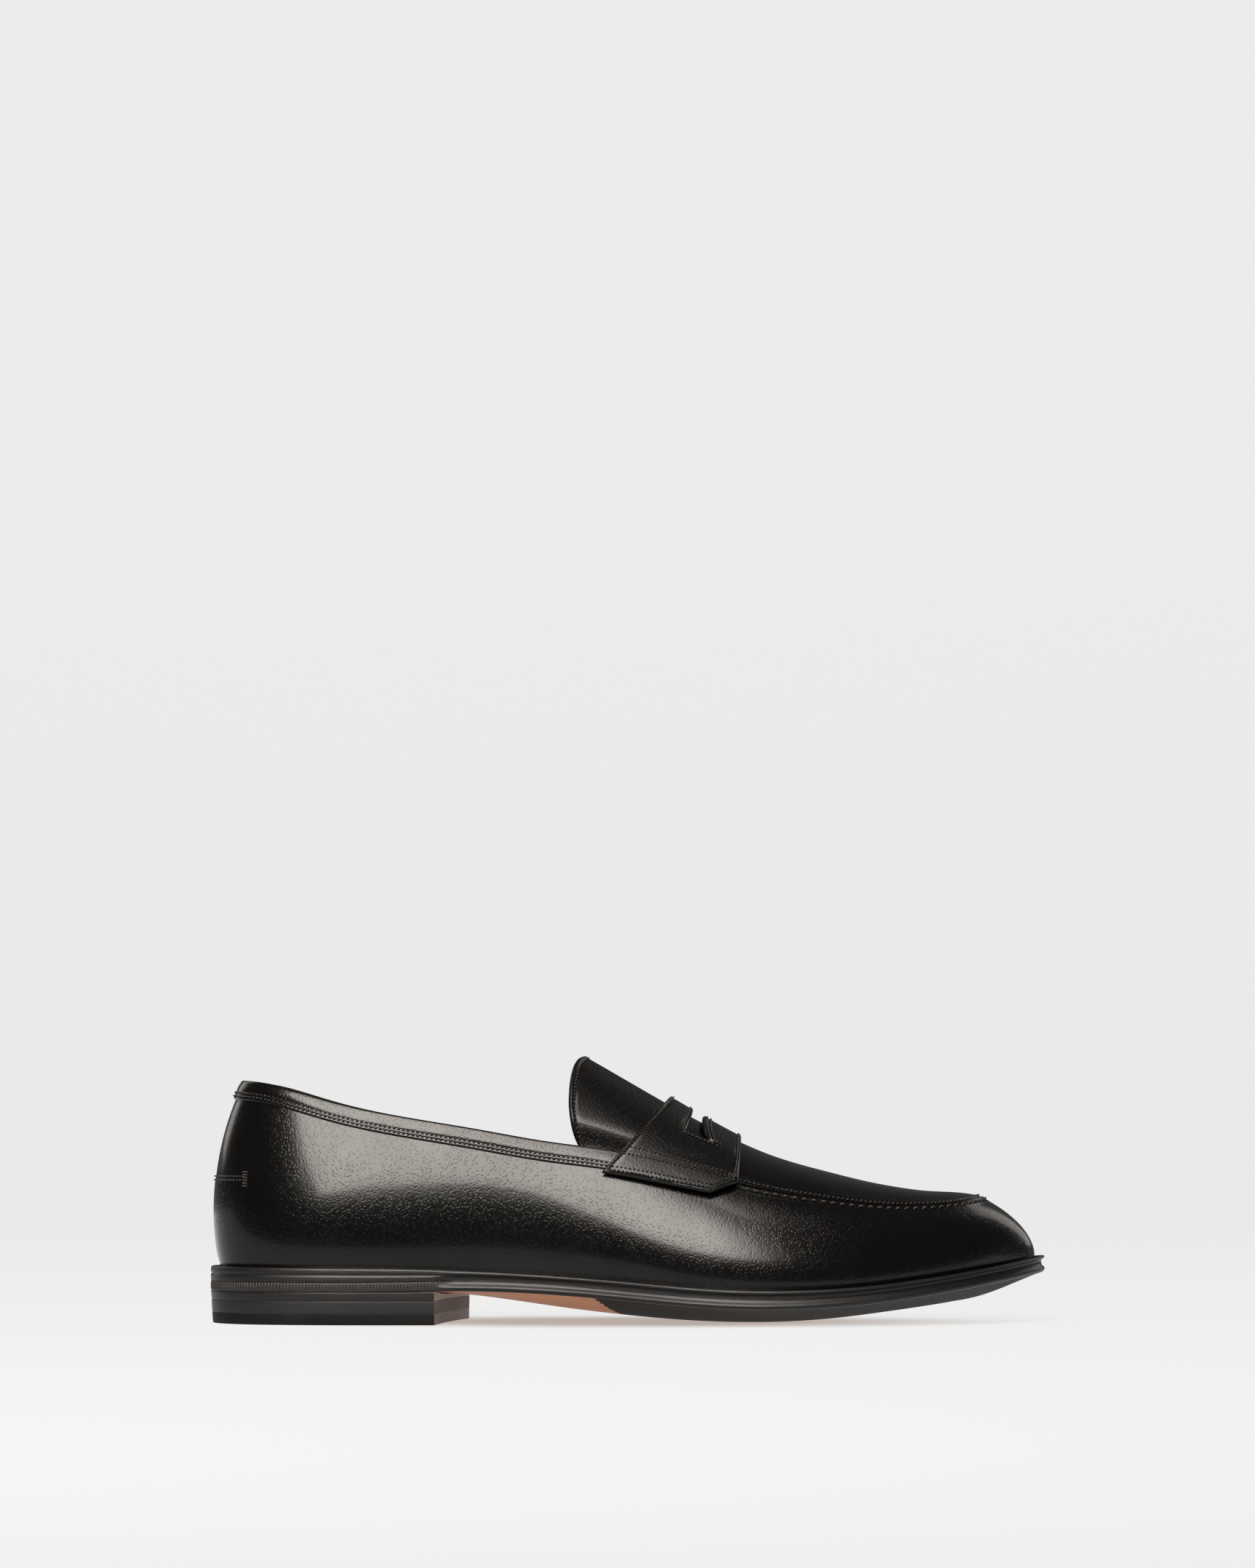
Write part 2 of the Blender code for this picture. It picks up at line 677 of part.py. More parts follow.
def steps_from(start):
    """As many shares everywhere, from start to the centre line, that keep the underside's facets."""
    steps = [start] + [s for s in CROWN_FACETS if s > start + 0.02]
    while len(steps) < len(CROWN_FACETS):
        steps.insert(1, mix(steps[0], steps[1], 0.5))
    return steps


def feather_share(u, inset):
    return share_at(u, RING.at(u)[13] + inset)


def slab(name, inset, low, high, mat):
    """A layer of the bottom between two heights over the underside, inset from the feather line."""
    grid = []
    for u in round_the_shoe():
        steps = steps_from(feather_share(u, inset))
        lower = [sole_point(u, s, low) for s in steps]
        upper = [sole_point(u, s, high) for s in steps]
        grid.append(lower[::-1] + upper)
    return closed_skin(name, grid, mat)


def forepart(name, inset, rear, low, high, mat):
    """A slab of the forepart only, from a boundary that slants forward to the centre line."""
    edge_u, centre_u = top_at_foot(FOREPART_EDGE_X - rear), top_at_foot(FOREPART_CENTRE_X - rear)

    def side(k, mirrored):
        line = []
        for s in CROWN_FACETS:
            u = mix(mix(edge_u, centre_u, s), HALF, k)
            u = 2 * HALF - u if mirrored else u
            line.append((u, max(s, share_at(u, inset))))
        return line

    rings = []
    for k in between(0.0, 1.0, 15):
        outer, inner = side(k, False), side(k, True)
        line = outer + inner[-2::-1]
        lower = [sole_point(u, s, low) for u, s in line]
        upper = [sole_point(u, s, high) for u, s in line]
        rings.append(lower + upper[::-1])
    weld = Weld()
    index = [[weld(p) for p in row] for row in rings]
    return add_object(name, weld.points, quads(index, False, True) + [index[0][::-1]], mat)


def top_at_foot(x):
    """u on the outer side where the feather line passes x."""
    return find(lambda u: RING.at(u)[0] - x, 0.0, HALF)


def make_outsole(leather, rubber):
    """Leather outsole with a rounded underside, and the rubber half sole let into its forepart."""
    grid = []
    for u in round_the_shoe():
        steps = steps_from(share_at(u, 0.8))
        top = [sole_point(u, s, OUTSOLE) for s in steps]
        bead = sole_point(u, 0.0, OUTSOLE * 0.45)
        bottom = [sole_point(u, s, 0.0) for s in steps]
        grid.append(top[::-1] + [bead] + bottom)
    outsole = closed_skin("outsole", grid, leather)
    cut(outsole, forepart("forepart_recess", 2.0 - GAP, GAP, -1.0, HALF_SOLE_DEPTH + GAP, rubber))
    forepart("forepart_half_sole", 2.0, 0.0, 0.0, HALF_SOLE_DEPTH, rubber)


def make_welt(leather):
    """Strip between the upper and the outsole, with the upper bead on its edge."""
    grid = []
    low = OUTSOLE + GAP
    for u in round_the_shoe():
        top = RING.at(u)[14]
        inner = feather_share(u, -0.4)
        grid.append([
            sole_point(u, share_at(u, 0.9), low),
            sole_point(u, share_at(u, 1.0), mix(low, top, 0.4)),
            sole_point(u, 0.0, mix(low, top, 0.72)),
            sole_point(u, share_at(u, 0.6), top),
            sole_point(u, inner, top),
            sole_point(u, inner, low),
        ])
    return closed_skin("welt", grid, leather, True, True)


INSOLE_BASE = OUTSOLE + GAP + UPPER_LEATHER + GAP


def make_insole(board):
    return slab("insole_board", 2.6, INSOLE_BASE, INSOLE_BASE + INSOLE, board)


def make_sock(leather):
    base = INSOLE_BASE + INSOLE + GAP
    return slab("sock_liner", 5.4, base, base + SOCK, leather)


def make_filler(cork):
    """Cork that levels the forepart between the turned-in margins."""
    low, high = OUTSOLE + GAP, OUTSOLE + GAP + UPPER_LEATHER

    def line(u, height):
        return [sole_point(u, s, height) for s in steps_from(feather_share(u, MARGIN_LENGTH + 2.0))]

    rings = []
    for u in places_between(top_at(0.0), HALF):
        other = 2 * HALF - u
        rings.append(line(u, low) + line(other, low)[-2::-1] + line(other, high) + line(u, high)[-2::-1])
    weld = Weld()
    index = [[weld(p) for p in row] for row in rings]
    return add_object("cork_filler", weld.points, quads(index, False, True) + [index[0][::-1]], cork)


def make_shank(steel):
    """Ribbed steel strip that carries the arch between the heel and the ball of the foot."""
    low, high = OUTSOLE + GAP + 0.2, OUTSOLE + GAP + UPPER_LEATHER - 0.2
    half_width = 6.5
    profile = ((-half_width, low + 0.25), (0.0, low), (half_width, low + 0.25))
    profile += ((half_width, high), (0.0, high), (-half_width, high))
    rows = []
    for x in between(-108.0, -10.0, 13):
        u = find(lambda v: RING.at(v)[15] - x, 5.0, HALF)
        centre = sole_point(u, 1.0, 0.0)
        rows.append([centre + np.array([0.0, y, z]) for y, z in profile])
    weld = Weld()
    index = [[weld(p) for p in row] for row in rows]
    return add_object("shank", weld.points, quads(index, False, True) + [index[0][::-1], index[-1]], steel)


def breast_x(y):
    """The heel's front face: slanted, and a little hollow."""
    share = (y + 34.0) / 65.0
    hollow = math.sin(math.pi * min(1.0, max(0.0, share)))
    return mix(BREAST_LATERAL_X, BREAST_MEDIAL_X, share) - BREAST_HOLLOW * hollow


def heel_outline(inset):
    """Points round the heel from one end of the breast to the other, then back across it."""
    def edge(u):
        return sole_point(u, 0.0, 0.0) - outward(u) * inset

    def ahead(u, side):
        p = edge(side * u)
        return p[0] - breast_x(p[1])

    ends = {side: find(lambda u: ahead(u, side), 30.0, HALF * 0.6) for side in (-1, 1)}
    back = [edge(u) for u in places_between(-ends[-1], ends[1])]
    front = [mix(back[-1], back[0], k / 6) for k in range(1, 6)]
    for p in front:
        p[0] = breast_x(p[1])
    return back + front


def make_lift(name, inset_low, inset_high, low, high, mat):
    """One layer of the heel. The heel narrows a little towards the ground."""
    below, above = heel_outline(inset_low), heel_outline(inset_high)
    count = len(above)
    assert len(below) == count
    points = [np.array([p[0], p[1], low]) for p in below] + [np.array([p[0], p[1], high]) for p in above]
    sides = [[k, (k + 1) % count, (k + 1) % count + count, k + count] for k in range(count)]
    caps = [list(range(count))[::-1], list(range(count, 2 * count))]
    return add_object(name, points, sides + caps, mat)


def make_heel(stack, rubber, steel):
    """Two leather lifts and a rubber top piece. The upper lift is hollowed to fit the rounded sole."""
    level = TOP_PIECE + GAP
    top_piece = make_lift("heel_top_piece", 0.9, 0.6, 0.0, TOP_PIECE, rubber)
    make_lift("heel_lift_lower", 0.6, 0.3, level, level + LOWER_LIFT, stack)
    upper = make_lift("heel_lift_upper", 0.3, 0.0, level + LOWER_LIFT + GAP, HEEL_SEAT + 1.5, stack)
    cut(upper, slab("heel_seat_recess", -8.0, -GAP, 6.0, stack))
    for number, (x, y) in enumerate(NAIL_PLACES, 1):
        hole = cylinder(f"nail_hole_{number}", (x, y, -1.0), NAIL_RADIUS + GAP, 1.3 + NAIL_LENGTH, steel)
        cut(top_piece, hole)
        cylinder(f"heel_nail_{number}", (x, y, 0.2), NAIL_RADIUS, NAIL_LENGTH, steel, sides=8)


# ---------------------------------------------------------------- stitching


def row_of_thread(name, places, offset, mat, closed=False):
    return tube(name, [on_upper(u, q, offset) for u, q in places], THREAD, mat, closed=closed)


def make_stitching(thread):
    height = THREAD + GAP
    apron = places_between(top_at(42.5), HALF)
    apron += [2 * HALF - u for u in apron[-2::-1]]
    row_of_thread("apron_thread_upper", [(u, 1.1) for u in apron], height, thread)
    row_of_thread("apron_thread_lower", [(u, below_top(u, 1.6)) for u in apron], height, thread)
    collar = places_between(-top_at(-8.0), top_at(-8.0))
    lift = GAP + BAND_LEATHER + height
    row_of_thread("collar_thread_upper", [(u, below_top(u, 5.2)) for u in collar], lift, thread)
    row_of_thread("collar_thread_lower", [(u, below_top(u, 6.8)) for u in collar], lift, thread)


def make_tongue_thread(thread):
    heights = (1.08, 1.18, 1.32, 1.46, 1.6, 1.8, 2.0)
    edge = [(mix(TONGUE_FRONT, tongue_edge(q), 0.93), q) for q in heights]
    places = edge + [(2 * HALF - u, q) for u, q in edge[-2::-1]]
    points = [on_upper(u, q, tongue_outer(u, q) + THREAD + GAP) for u, q in places]
    put_origin(tube("tongue_thread", points, THREAD, thread), TONGUE_HINGE)


def main():
    for obj in list(bpy.data.objects):
        bpy.data.objects.remove(obj)
    calf = material("black_calf", (0.012, 0.011, 0.011), 0.22)
    lining = material("lining_leather", (0.42, 0.28, 0.18), 0.6)
    board = material("stiffener_board", (0.72, 0.66, 0.55), 0.8)
    black_edge = material("edge_black", (0.02, 0.018, 0.017), 0.35)
    sole = material("sole_leather", (0.62, 0.33, 0.17), 0.5)
    cork = material("cork", (0.5, 0.33, 0.18), 0.9)
    rubber = material("rubber", (0.03, 0.03, 0.03), 0.6)
    stack = material("heel_stack", (0.05, 0.04, 0.035), 0.45)
    steel = material("steel", (0.6, 0.6, 0.62), 0.35, 1.0)
    thread = material("thread", (0.03, 0.03, 0.03), 0.7)

    make_vamp_quarter(calf)
    make_apron(calf)
    make_vamp_lining(lining)
    make_quarter_lining(lining)
    make_heel_counter(board)
    make_toe_puff(board)
    make_collar_band(calf)
    make_tongue(calf, lining)
    make_strap(calf)
    make_tab("strap_tab_lateral", -1, calf)
    make_tab("strap_tab_medial", 1, calf)
    make_outsole(sole, rubber)
    make_welt(black_edge)
    make_insole(board)
    make_sock(lining)
    make_filler(cork)
    make_shank(steel)
    make_heel(stack, rubber, steel)
    make_stitching(thread)
    make_tongue_thread(thread)


main()
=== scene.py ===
"""Penny loafer in polished black calf: its leather, stitching, sole and heel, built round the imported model.

The upper is cut from one last surface. A place on it is (u, q): u runs round the shoe, and q is 0 at the feather
line, 1 at the top line and 2 on the crest of the instep. Lengths are millimetres until a mesh is made.
"""

import math

import bmesh
import bpy
import numpy as np
from bpy.props import FloatProperty, FloatVectorProperty, PointerProperty
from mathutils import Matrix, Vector
from mathutils.kdtree import KDTree


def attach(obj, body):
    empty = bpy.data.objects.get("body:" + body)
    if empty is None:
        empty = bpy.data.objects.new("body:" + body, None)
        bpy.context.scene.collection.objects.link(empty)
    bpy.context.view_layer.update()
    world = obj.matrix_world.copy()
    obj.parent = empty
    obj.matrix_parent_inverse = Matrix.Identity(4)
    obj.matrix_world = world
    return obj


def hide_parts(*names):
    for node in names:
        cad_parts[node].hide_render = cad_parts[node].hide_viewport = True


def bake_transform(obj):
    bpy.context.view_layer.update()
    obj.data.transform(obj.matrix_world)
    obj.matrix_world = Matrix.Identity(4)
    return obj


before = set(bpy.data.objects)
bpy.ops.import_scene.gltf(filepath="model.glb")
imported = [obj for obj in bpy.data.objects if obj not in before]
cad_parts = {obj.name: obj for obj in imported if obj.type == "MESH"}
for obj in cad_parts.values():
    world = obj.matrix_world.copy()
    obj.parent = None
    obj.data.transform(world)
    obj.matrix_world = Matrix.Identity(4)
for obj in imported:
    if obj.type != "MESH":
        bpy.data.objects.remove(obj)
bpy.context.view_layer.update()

bl_info = {
    "name": "Penny Loafer",
    "version": (1, 0, 0),
    "blender": (4, 5, 0),
    "location": "View3D > Sidebar > Loafer",
    "description": "Builds a black penny loafer piece by piece round its packed model",
    "category": "Add Mesh",
}

MM = 0.001
CENTRE_SHIFT = np.array([0.0, -0.45, 0.0])
UP = np.array([0.0, 0.0, 1.0])
GAP = 0.3
CALF = 1.2
STIFFENER = 0.8
LINING = 0.8
BAND = 0.8
STRAP = 1.6
OUTSOLE = 3.5
COLLAR_DEPTH = 7.4
TONGUE_TUCK = 4.9
HALF_SOLE_EDGE_X = -12.5
HALF_SOLE_CENTRE_X = 0.0
TONGUE_BULGE_X = -21.6
TONGUE_BULGE_Q = 1.36
STRAP_REAR = ((-9.8, 53.0), (15.0, 80.5))
STRAP_FRONT = ((38.4, 50.0), (40.0, 66.0))
TAB_CORNER = (28.6, 45.4)
SLOT_END_Q = 1.47
TOE_Y = 5.6
APRON_EDGE_Q = 1.004
APRON_BACK_X = 7.6
TONGUE_FRONT_X = 6.0
SADDLE_JOIN_Q = 0.985
SADDLE_BASE = GAP + BAND + GAP
INSOLE = 2.0
ROUND_COUNT = 420
LENS = 94.6
CAMERA_PLACE = (-0.0006, -1.5, 0.061)
CAMERA_TILT = 5.105
SOFTBOX_Y = -1.0
WARM_LIGHT = (1.0, 0.93, 0.86)

# One row for each station from the back of the heel to the toe: the feather line (x, outer and inner distance
# from the axis, z), the top line (the same four), how the wall leaves the first (out, up) and meets the second
# (out, down), the crest (x, z), the sole's overhang and edge thickness, and the sole's centre line (x, z).
STATIONS = (
    (-147.6, 0, 0, 20.2, -139.6, 0, 0, 86.6, 4.4, 16, 11.6, 23, -118, 152.0, 3.4, 8.7, -119, 11.5),
    (-144.2, 13.5, 13.5, 20.2, -136.6, 10.6, 10.6, 86.3, 4.4, 16, 11, 23, -116, 151.0, 3.4, 8.7, -118, 11.5),
    (-134, 22.8, 22.8, 20.2, -127.5, 17.4, 17.4, 84.9, 4.2, 15.5, 10.4, 23.5, -110, 147.6, 3.3, 8.7, -115, 11.5),
    (-115, 28.8, 28.6, 20.1, -109.5, 22.6, 22.6, 79.7, 3.9, 15, 9.4, 24, -94, 138.8, 3.1, 8.6, -105, 11.5),
    (-88, 30.4, 29.6, 19.9, -85, 25.6, 25.6, 74.1, 3.6, 14.5, 7.6, 22, -70, 125.6, 3.0, 8.3, -86, 11.5),
    (-58, 30.4, 27.2, 19.2, -57, 27.6, 27.4, 69.4, 3.5, 14, 6.2, 20, -43, 110.6, 2.8, 7.2, -58, 9.9),
    (-28, 32.4, 25.2, 17.7, -30, 29.2, 28.8, 64.7, 3.3, 13, 6.2, 18, -16, 95.6, 2.9, 6.7, -28, 5.8),
    (2, 38.4, 29.2, 15.5, -3, 30.4, 29.8, 60.8, 3.0, 12, 8, 17, 9, 81.2, 3.4, 6.8, 2, 2.2),
    (30, 44.2, 38.6, 13.3, 24, 31.0, 30.6, 54.0, 2.7, 11, 10, 13, 31, 69.2, 4.2, 6.8, 30, 0.2),
    (54, 45.6, 45.4, 12.8, 46, 30.8, 30.8, 48.4, 2.5, 11, 10.5, 9.5, 51, 60.1, 4.5, 6.7, 54, 0.1),
    (78, 42.6, 47.4, 13.9, 68, 29.0, 30.4, 44.8, 2.2, 10.5, 10.5, 8, 71, 54.2, 4.5, 6.5, 74, 1.4),
    (100, 35.4, 44.6, 16.3, 88, 25.4, 29.0, 42.5, 1.7, 9.5, 10.5, 7, 86, 50.5, 4.4, 6.3, 89, 3.3),
    (119, 25.6, 38.2, 19.1, 105, 19.6, 25.8, 42.3, 1.0, 8.5, 11, 6.4, 98, 48.2, 4.2, 6.1, 100, 4.9),
    (133.5, 14.2, 29.2, 21.5, 117.5, 12.0, 20.4, 43.3, 0.3, 7.5, 12, 6.2, 106, 47.1, 3.9, 6.0, 107.5, 6.1),
    (143.4, 2.6, 18.8, 23.2, 124.8, 3.0, 13.6, 44.6, -0.2, 7, 12.5, 6.2, 110.5, 46.8, 3.7, 5.9, 112, 6.9),
    (147.3, -7.6, 7.6, 23.9, 127.3, -5.6, 5.6, 45.1, -0.3, 7, 12.7, 6.2, 112, 46.7, 3.6, 5.9, 113.5, 7.1),
)


# ---------------------------------------------------------------- the last


def smooth(x):
    x = np.clip(x, 0.0, 1.0)
    return x * x * (3 - 2 * x)


def mix(a, b, share):
    return a + (b - a) * share


def bump_at(x, centre, width):
    """A smooth bump of height 1 at centre."""
    return np.exp(-(((x - centre) / width) ** 2))


class LastRing:
    """The stations as one smooth closed run of values: heel 0, outer side first, toe at half."""

    def __init__(self):
        spots = [(s[0], s[1]) for s in STATIONS]
        spans = [math.dist(a, b) for a, b in zip(spots, spots[1:])]
        knots = np.concatenate([[0.0], np.cumsum(spans)])
        self.half = float(knots[-1])
        outer = [self.channels(s, -1) for s in STATIONS]
        inner = [self.channels(s, 1) for s in STATIONS[-2:0:-1]]
        self.values = np.array(outer + inner)
        self.places = np.concatenate([knots, 2 * self.half - knots[-2:0:-1]])
        self.bends = self.second_derivatives()

    @staticmethod
    def channels(s, side):
        foot_y = s[1] if side < 0 else s[2]
        top_y = s[5] if side < 0 else s[6]
        axis_y = TOE_Y * float(smooth((s[12] - 40.0) / 87.0))
        edge = [s[14], s[15], s[16], axis_y, s[17]]
        return [s[0], side * foot_y, s[3], s[4], side * top_y, s[7], *s[8:12], s[12], axis_y, s[13]] + edge

    def second_derivatives(self):
        count = len(self.places)
        step = np.diff(np.append(self.places, 2 * self.half))
        system = np.zeros((count, count))
        right = np.zeros_like(self.values)
        for i in range(count):
            before, after = step[i - 1], step[i]
            system[i, i - 1] += before
            system[i, i] += 2 * (before + after)
            system[i, (i + 1) % count] += after
            rise = (self.values[(i + 1) % count] - self.values[i]) / after
            right[i] = 6 * (rise - (self.values[i] - self.values[i - 1]) / before)
        return np.linalg.solve(system, right)

    def at(self, u):
        u = np.asarray(u, float) % (2 * self.half)
        i = np.searchsorted(self.places, u, side="right") - 1
        j = (i + 1) % len(self.places)
        start = self.places[i]
        end = np.where(j > 0, self.places[j], 2 * self.half)
        step = (end - start)[..., None]
        a = (end - u)[..., None] / step
        b = 1 - a
        curve = (a**3 - a) * self.bends[i] + (b**3 - b) * self.bends[j]
        return a * self.values[i] + b * self.values[j] + curve * step * step / 6


RING = LastRing()
HALF = RING.half


def bezier(p0, p1, p2, p3, t):
    s = 1 - t
    return s**3 * p0 + 3 * s * s * t * p1 + 3 * s * t * t * p2 + t**3 * p3


def outward(u):
    """The level direction that points out of the shoe at u."""
    along = RING.at(np.asarray(u) + 0.05)[..., :2] - RING.at(np.asarray(u) - 0.05)[..., :2]
    along /= np.linalg.norm(along, axis=-1, keepdims=True)
    return np.stack([along[..., 1], -along[..., 0], np.zeros(along.shape[:-1])], axis=-1)


def surface(u, q):
    """The outside of the upper."""
    u, q = np.broadcast_arrays(np.asarray(u, float), np.asarray(q, float))
    v = RING.at(u)
    foot, top, ridge = v[..., 0:3], v[..., 3:6], v[..., 10:13]
    out = outward(u)
    leave = foot + out * v[..., 6:7] + UP * v[..., 7:8]
    meet = top + out * v[..., 8:9] - UP * v[..., 9:10]
    wall = bezier(foot, leave, meet, top, np.clip(q, 0, 1)[..., None])
    inward = (ridge - top) * np.array([1.0, 1.0, 0.0])
    reach = np.linalg.norm(inward, axis=-1)
    rise = ridge[..., 2] - top[..., 2]
    lift = top + inward * 0.16 + UP * (rise * 0.52)[..., None]
    level = ridge - inward * (0.5 - 0.1 * smooth(rise / np.maximum(reach, 1.0)))[..., None]
    instep = bezier(top, lift, level, ridge, np.clip(q - 1, 0, 1)[..., None])
    return np.where(q[..., None] <= 1, wall, instep)


def normal(u, q):
    u, q = np.broadcast_arrays(np.asarray(u, float), np.asarray(q, float))
    crossing = (q <= 1.0) & (q > 0.996)
    low = np.where(crossing, q - 0.004, np.minimum(q, 1.99))
    across = surface(u, low + 0.004) - surface(u, low)
    middle = np.minimum(q, 1.99)
    along = surface(u + 0.05, middle) - surface(u - 0.05, middle)
    found = np.cross(along, across)
    side = u % (2 * HALF)
    side = np.clip(np.minimum(side, 2 * HALF - side), 3.0, HALF - 3.0)
    crest = RING.at(side + 1.0)[..., 10:13] - RING.at(side - 1.0)[..., 10:13]
    straight = np.stack([-crest[..., 2], np.zeros_like(q), crest[..., 0]], axis=-1)
    found /= np.linalg.norm(found, axis=-1, keepdims=True)
    straight /= np.linalg.norm(straight, axis=-1, keepdims=True)
    near_crest = smooth((q - 1.9) / 0.1)[..., None]
    found = found * (1 - near_crest) + straight * near_crest
    return found / np.linalg.norm(found, axis=-1, keepdims=True)


def on_upper(u, q, offset):
    offset = np.asarray(offset, float)
    return surface(u, q) + normal(u, q) * (offset[..., None] if offset.ndim else offset)


def find(test, low, high, steps=34):
    """Where test turns from negative to positive, for every element at once."""
    low, high = np.array(low, float), np.array(high, float)
    for _ in range(steps):
        middle = (low + high) / 2
        below = test(middle) < 0
        low = np.where(below, middle, low)
        high = np.where(below, high, middle)
    return (low + high) / 2


def top_at(x):
    """u on the outer side where the top line passes x."""
    return float(find(lambda u: RING.at(u)[..., 3] - x, 0.0, HALF))


def foot_at(x):
    return float(find(lambda u: RING.at(u)[..., 0] - x, 0.0, HALF))


def below_top(u, distance):
    """q this far below the top line, along the wall."""
    u, distance = np.broadcast_arrays(np.asarray(u, float), np.asarray(distance, float))
    top = surface(u, 1.0)
    low = np.full(u.shape, 0.3)
    return find(lambda q: distance - np.linalg.norm(surface(u, q) - top, axis=-1), low, np.ones(u.shape), 26)


def edge_place(edge, q):
    """u where a strap edge, given by two points of its side view, crosses height q."""
    low, high = edge
    q = np.asarray(q, float)

    def ahead(u):
        p = surface(u, q)
        return p[..., 0] - mix(low[0], high[0], (p[..., 2] - low[1]) / (high[1] - low[1]))

    return find(ahead, np.full(q.shape, top_at(-60.0)), np.full(q.shape, top_at(80.0)))


def wall_place(x, z):
    """(u, q) of the point on the outer wall that a side view shows at x, z."""
    u = top_at(x)
    for _ in range(12):
        q = float(find(lambda v: surface(u, v)[..., 2] - z, 0.0, 1.0))
        u += x - float(surface(u, q)[0])
    return u, q


def lining_outer(q):
    """The lining steps inwards low down, where the stiffeners lie behind the leather."""
    return -CALF - GAP - (STIFFENER + GAP) * (1 - smooth((q - 0.62) / 0.14))


def spaced(length, step, fine=(0.1, 0.25, 0.45, 0.75, 1.15, 1.65, 2.2, 2.9)):
    """Shares along a length, close together near both ends."""
    ends = [d / length for d in fine if d < length * 0.4]
    start, stop = ends[-1], 1 - ends[-1]
    count = max(2, int(round((stop - start) * length / step)))
    middle = [mix(start, stop, k / count) for k in range(1, count)]
    return np.array([0.0] + ends + middle + [1 - e for e in ends[::-1]] + [1.0])


def from_edge(length, step):
    """Shares along a length, close together near its start only."""
    both = spaced(2 * length, step)
    return np.append(both[both < 0.499] * 2, 1.0)


# ---------------------------------------------------------------- the bottom


def crown(share):
    share = np.clip(share, 0.0, 1.0)
    return np.sin(math.pi / 2 * share) ** 1.2


def sole_point(u, share, height):
    """A point over the sole: share 0 is its edge and 1 its centre line, and height is above the underside."""
    u, share, height = np.broadcast_arrays(*(np.asarray(v, float) for v in (u, share, height)))
    v = RING.at(u)
    edge = v[..., 0:3] + outward(u) * v[..., 13:14] - UP * v[..., 14:15]
    p = mix(edge, v[..., 15:18], share[..., None])
    p[..., 2] = mix(edge[..., 2], v[..., 17], crown(share)) + height
    return p


def sole_width(u):
    edge, spine = sole_point(u, 0.0, 0.0), sole_point(u, 1.0, 0.0)
    return np.linalg.norm((spine - edge)[..., :2], axis=-1)


def edge_height(u):
    return RING.at(u)[..., 14]


def overhang(u):
    return RING.at(u)[..., 13]


def half_sole_back(share):
    return mix(HALF_SOLE_EDGE_X, HALF_SOLE_CENTRE_X, share)


def breast_x(y):
    """The heel's front face: slanted, and a little hollow."""
    share = (y + 34.0) / 65.0
    return mix(-69.0, -58.5, share) - 1.6 * np.sin(math.pi * np.clip(share, 0.0, 1.0))


# ---------------------------------------------------------------- meshes


def add_piece(name, points, faces, finishes, body, stands_for=(), creases=60.0, face_finish=None):
    """One piece of the shoe from points in millimetres, which rides on a body."""
    mesh = bpy.data.meshes.new(name)
    places = (np.asarray(points, float) + CENTRE_SHIFT) * MM
    mesh.from_pydata([tuple(p) for p in places], [], [list(map(int, f)) for f in faces])
    for coat in finishes if isinstance(finishes, (list, tuple)) else [finishes]:
        mesh.materials.append(coat)
    if face_finish is not None:
        mesh.polygons.foreach_set("material_index", np.asarray(face_finish, np.int32))
    work = bmesh.new()
    work.from_mesh(mesh)
    bmesh.ops.recalc_face_normals(work, faces=work.faces)
    if work.calc_volume(signed=True) < 0:
        bmesh.ops.reverse_faces(work, faces=work.faces)
    work.to_mesh(mesh)
    work.free()
    mesh.shade_smooth()
    mesh.set_sharp_from_angle(angle=math.radians(creases))
    obj = bpy.data.objects.new(name, mesh)
    bpy.context.scene.collection.objects.link(obj)
    if body:
        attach(obj, body)
    if stands_for:
        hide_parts(*stands_for)
    return obj


def welded(points):
    """Indices that give points in the same place the same number, and the points kept."""
    flat = points.reshape(-1, 3)
    seen, kept, index = {}, [], []
    for key, p in zip(map(tuple, np.round(flat, 3)), flat):
        if key not in seen:
            seen[key] = len(kept)
            kept.append(p)
        index.append(seen[key])
    return np.array(index).reshape(points.shape[:2]), np.array(kept)


def grid_faces(index, wrap_rows=False, wrap_columns=False, skip=None):
    rows, columns = index.shape
    faces = []
    for i in range(rows if wrap_rows else rows - 1):
        for j in range(columns if wrap_columns else columns - 1):
            if skip is not None and skip[i, j]:
                continue
            k, m = (i + 1) % rows, (j + 1) % columns
            face = [index[i, j], index[k, j], index[k, m], index[i, m]]
            face = [v for n, v in enumerate(face) if v != face[n - 1]]
            if len(set(face)) >= 3:
                faces.append(face)
    return faces


def loft(name, rings, finish, body, closed_run=False, stands_for=(), creases=60.0, face_finish=None):
    """Closed cross-sections joined one after the other. An open run gets end caps."""
    index, kept = welded(rings)
    faces = grid_faces(index, closed_run, True)
    if not closed_run:
        for ring in (index[0][::-1], index[-1]):
            ring = [v for n, v in enumerate(ring) if v != ring[n - 1]]
            if len(set(ring)) >= 3:
                faces.append(ring)
    chosen = None
    if face_finish is not None:
        chosen = face_finish(kept, faces)
    return add_piece(name, kept, faces, finish, body, stands_for, creases, chosen)


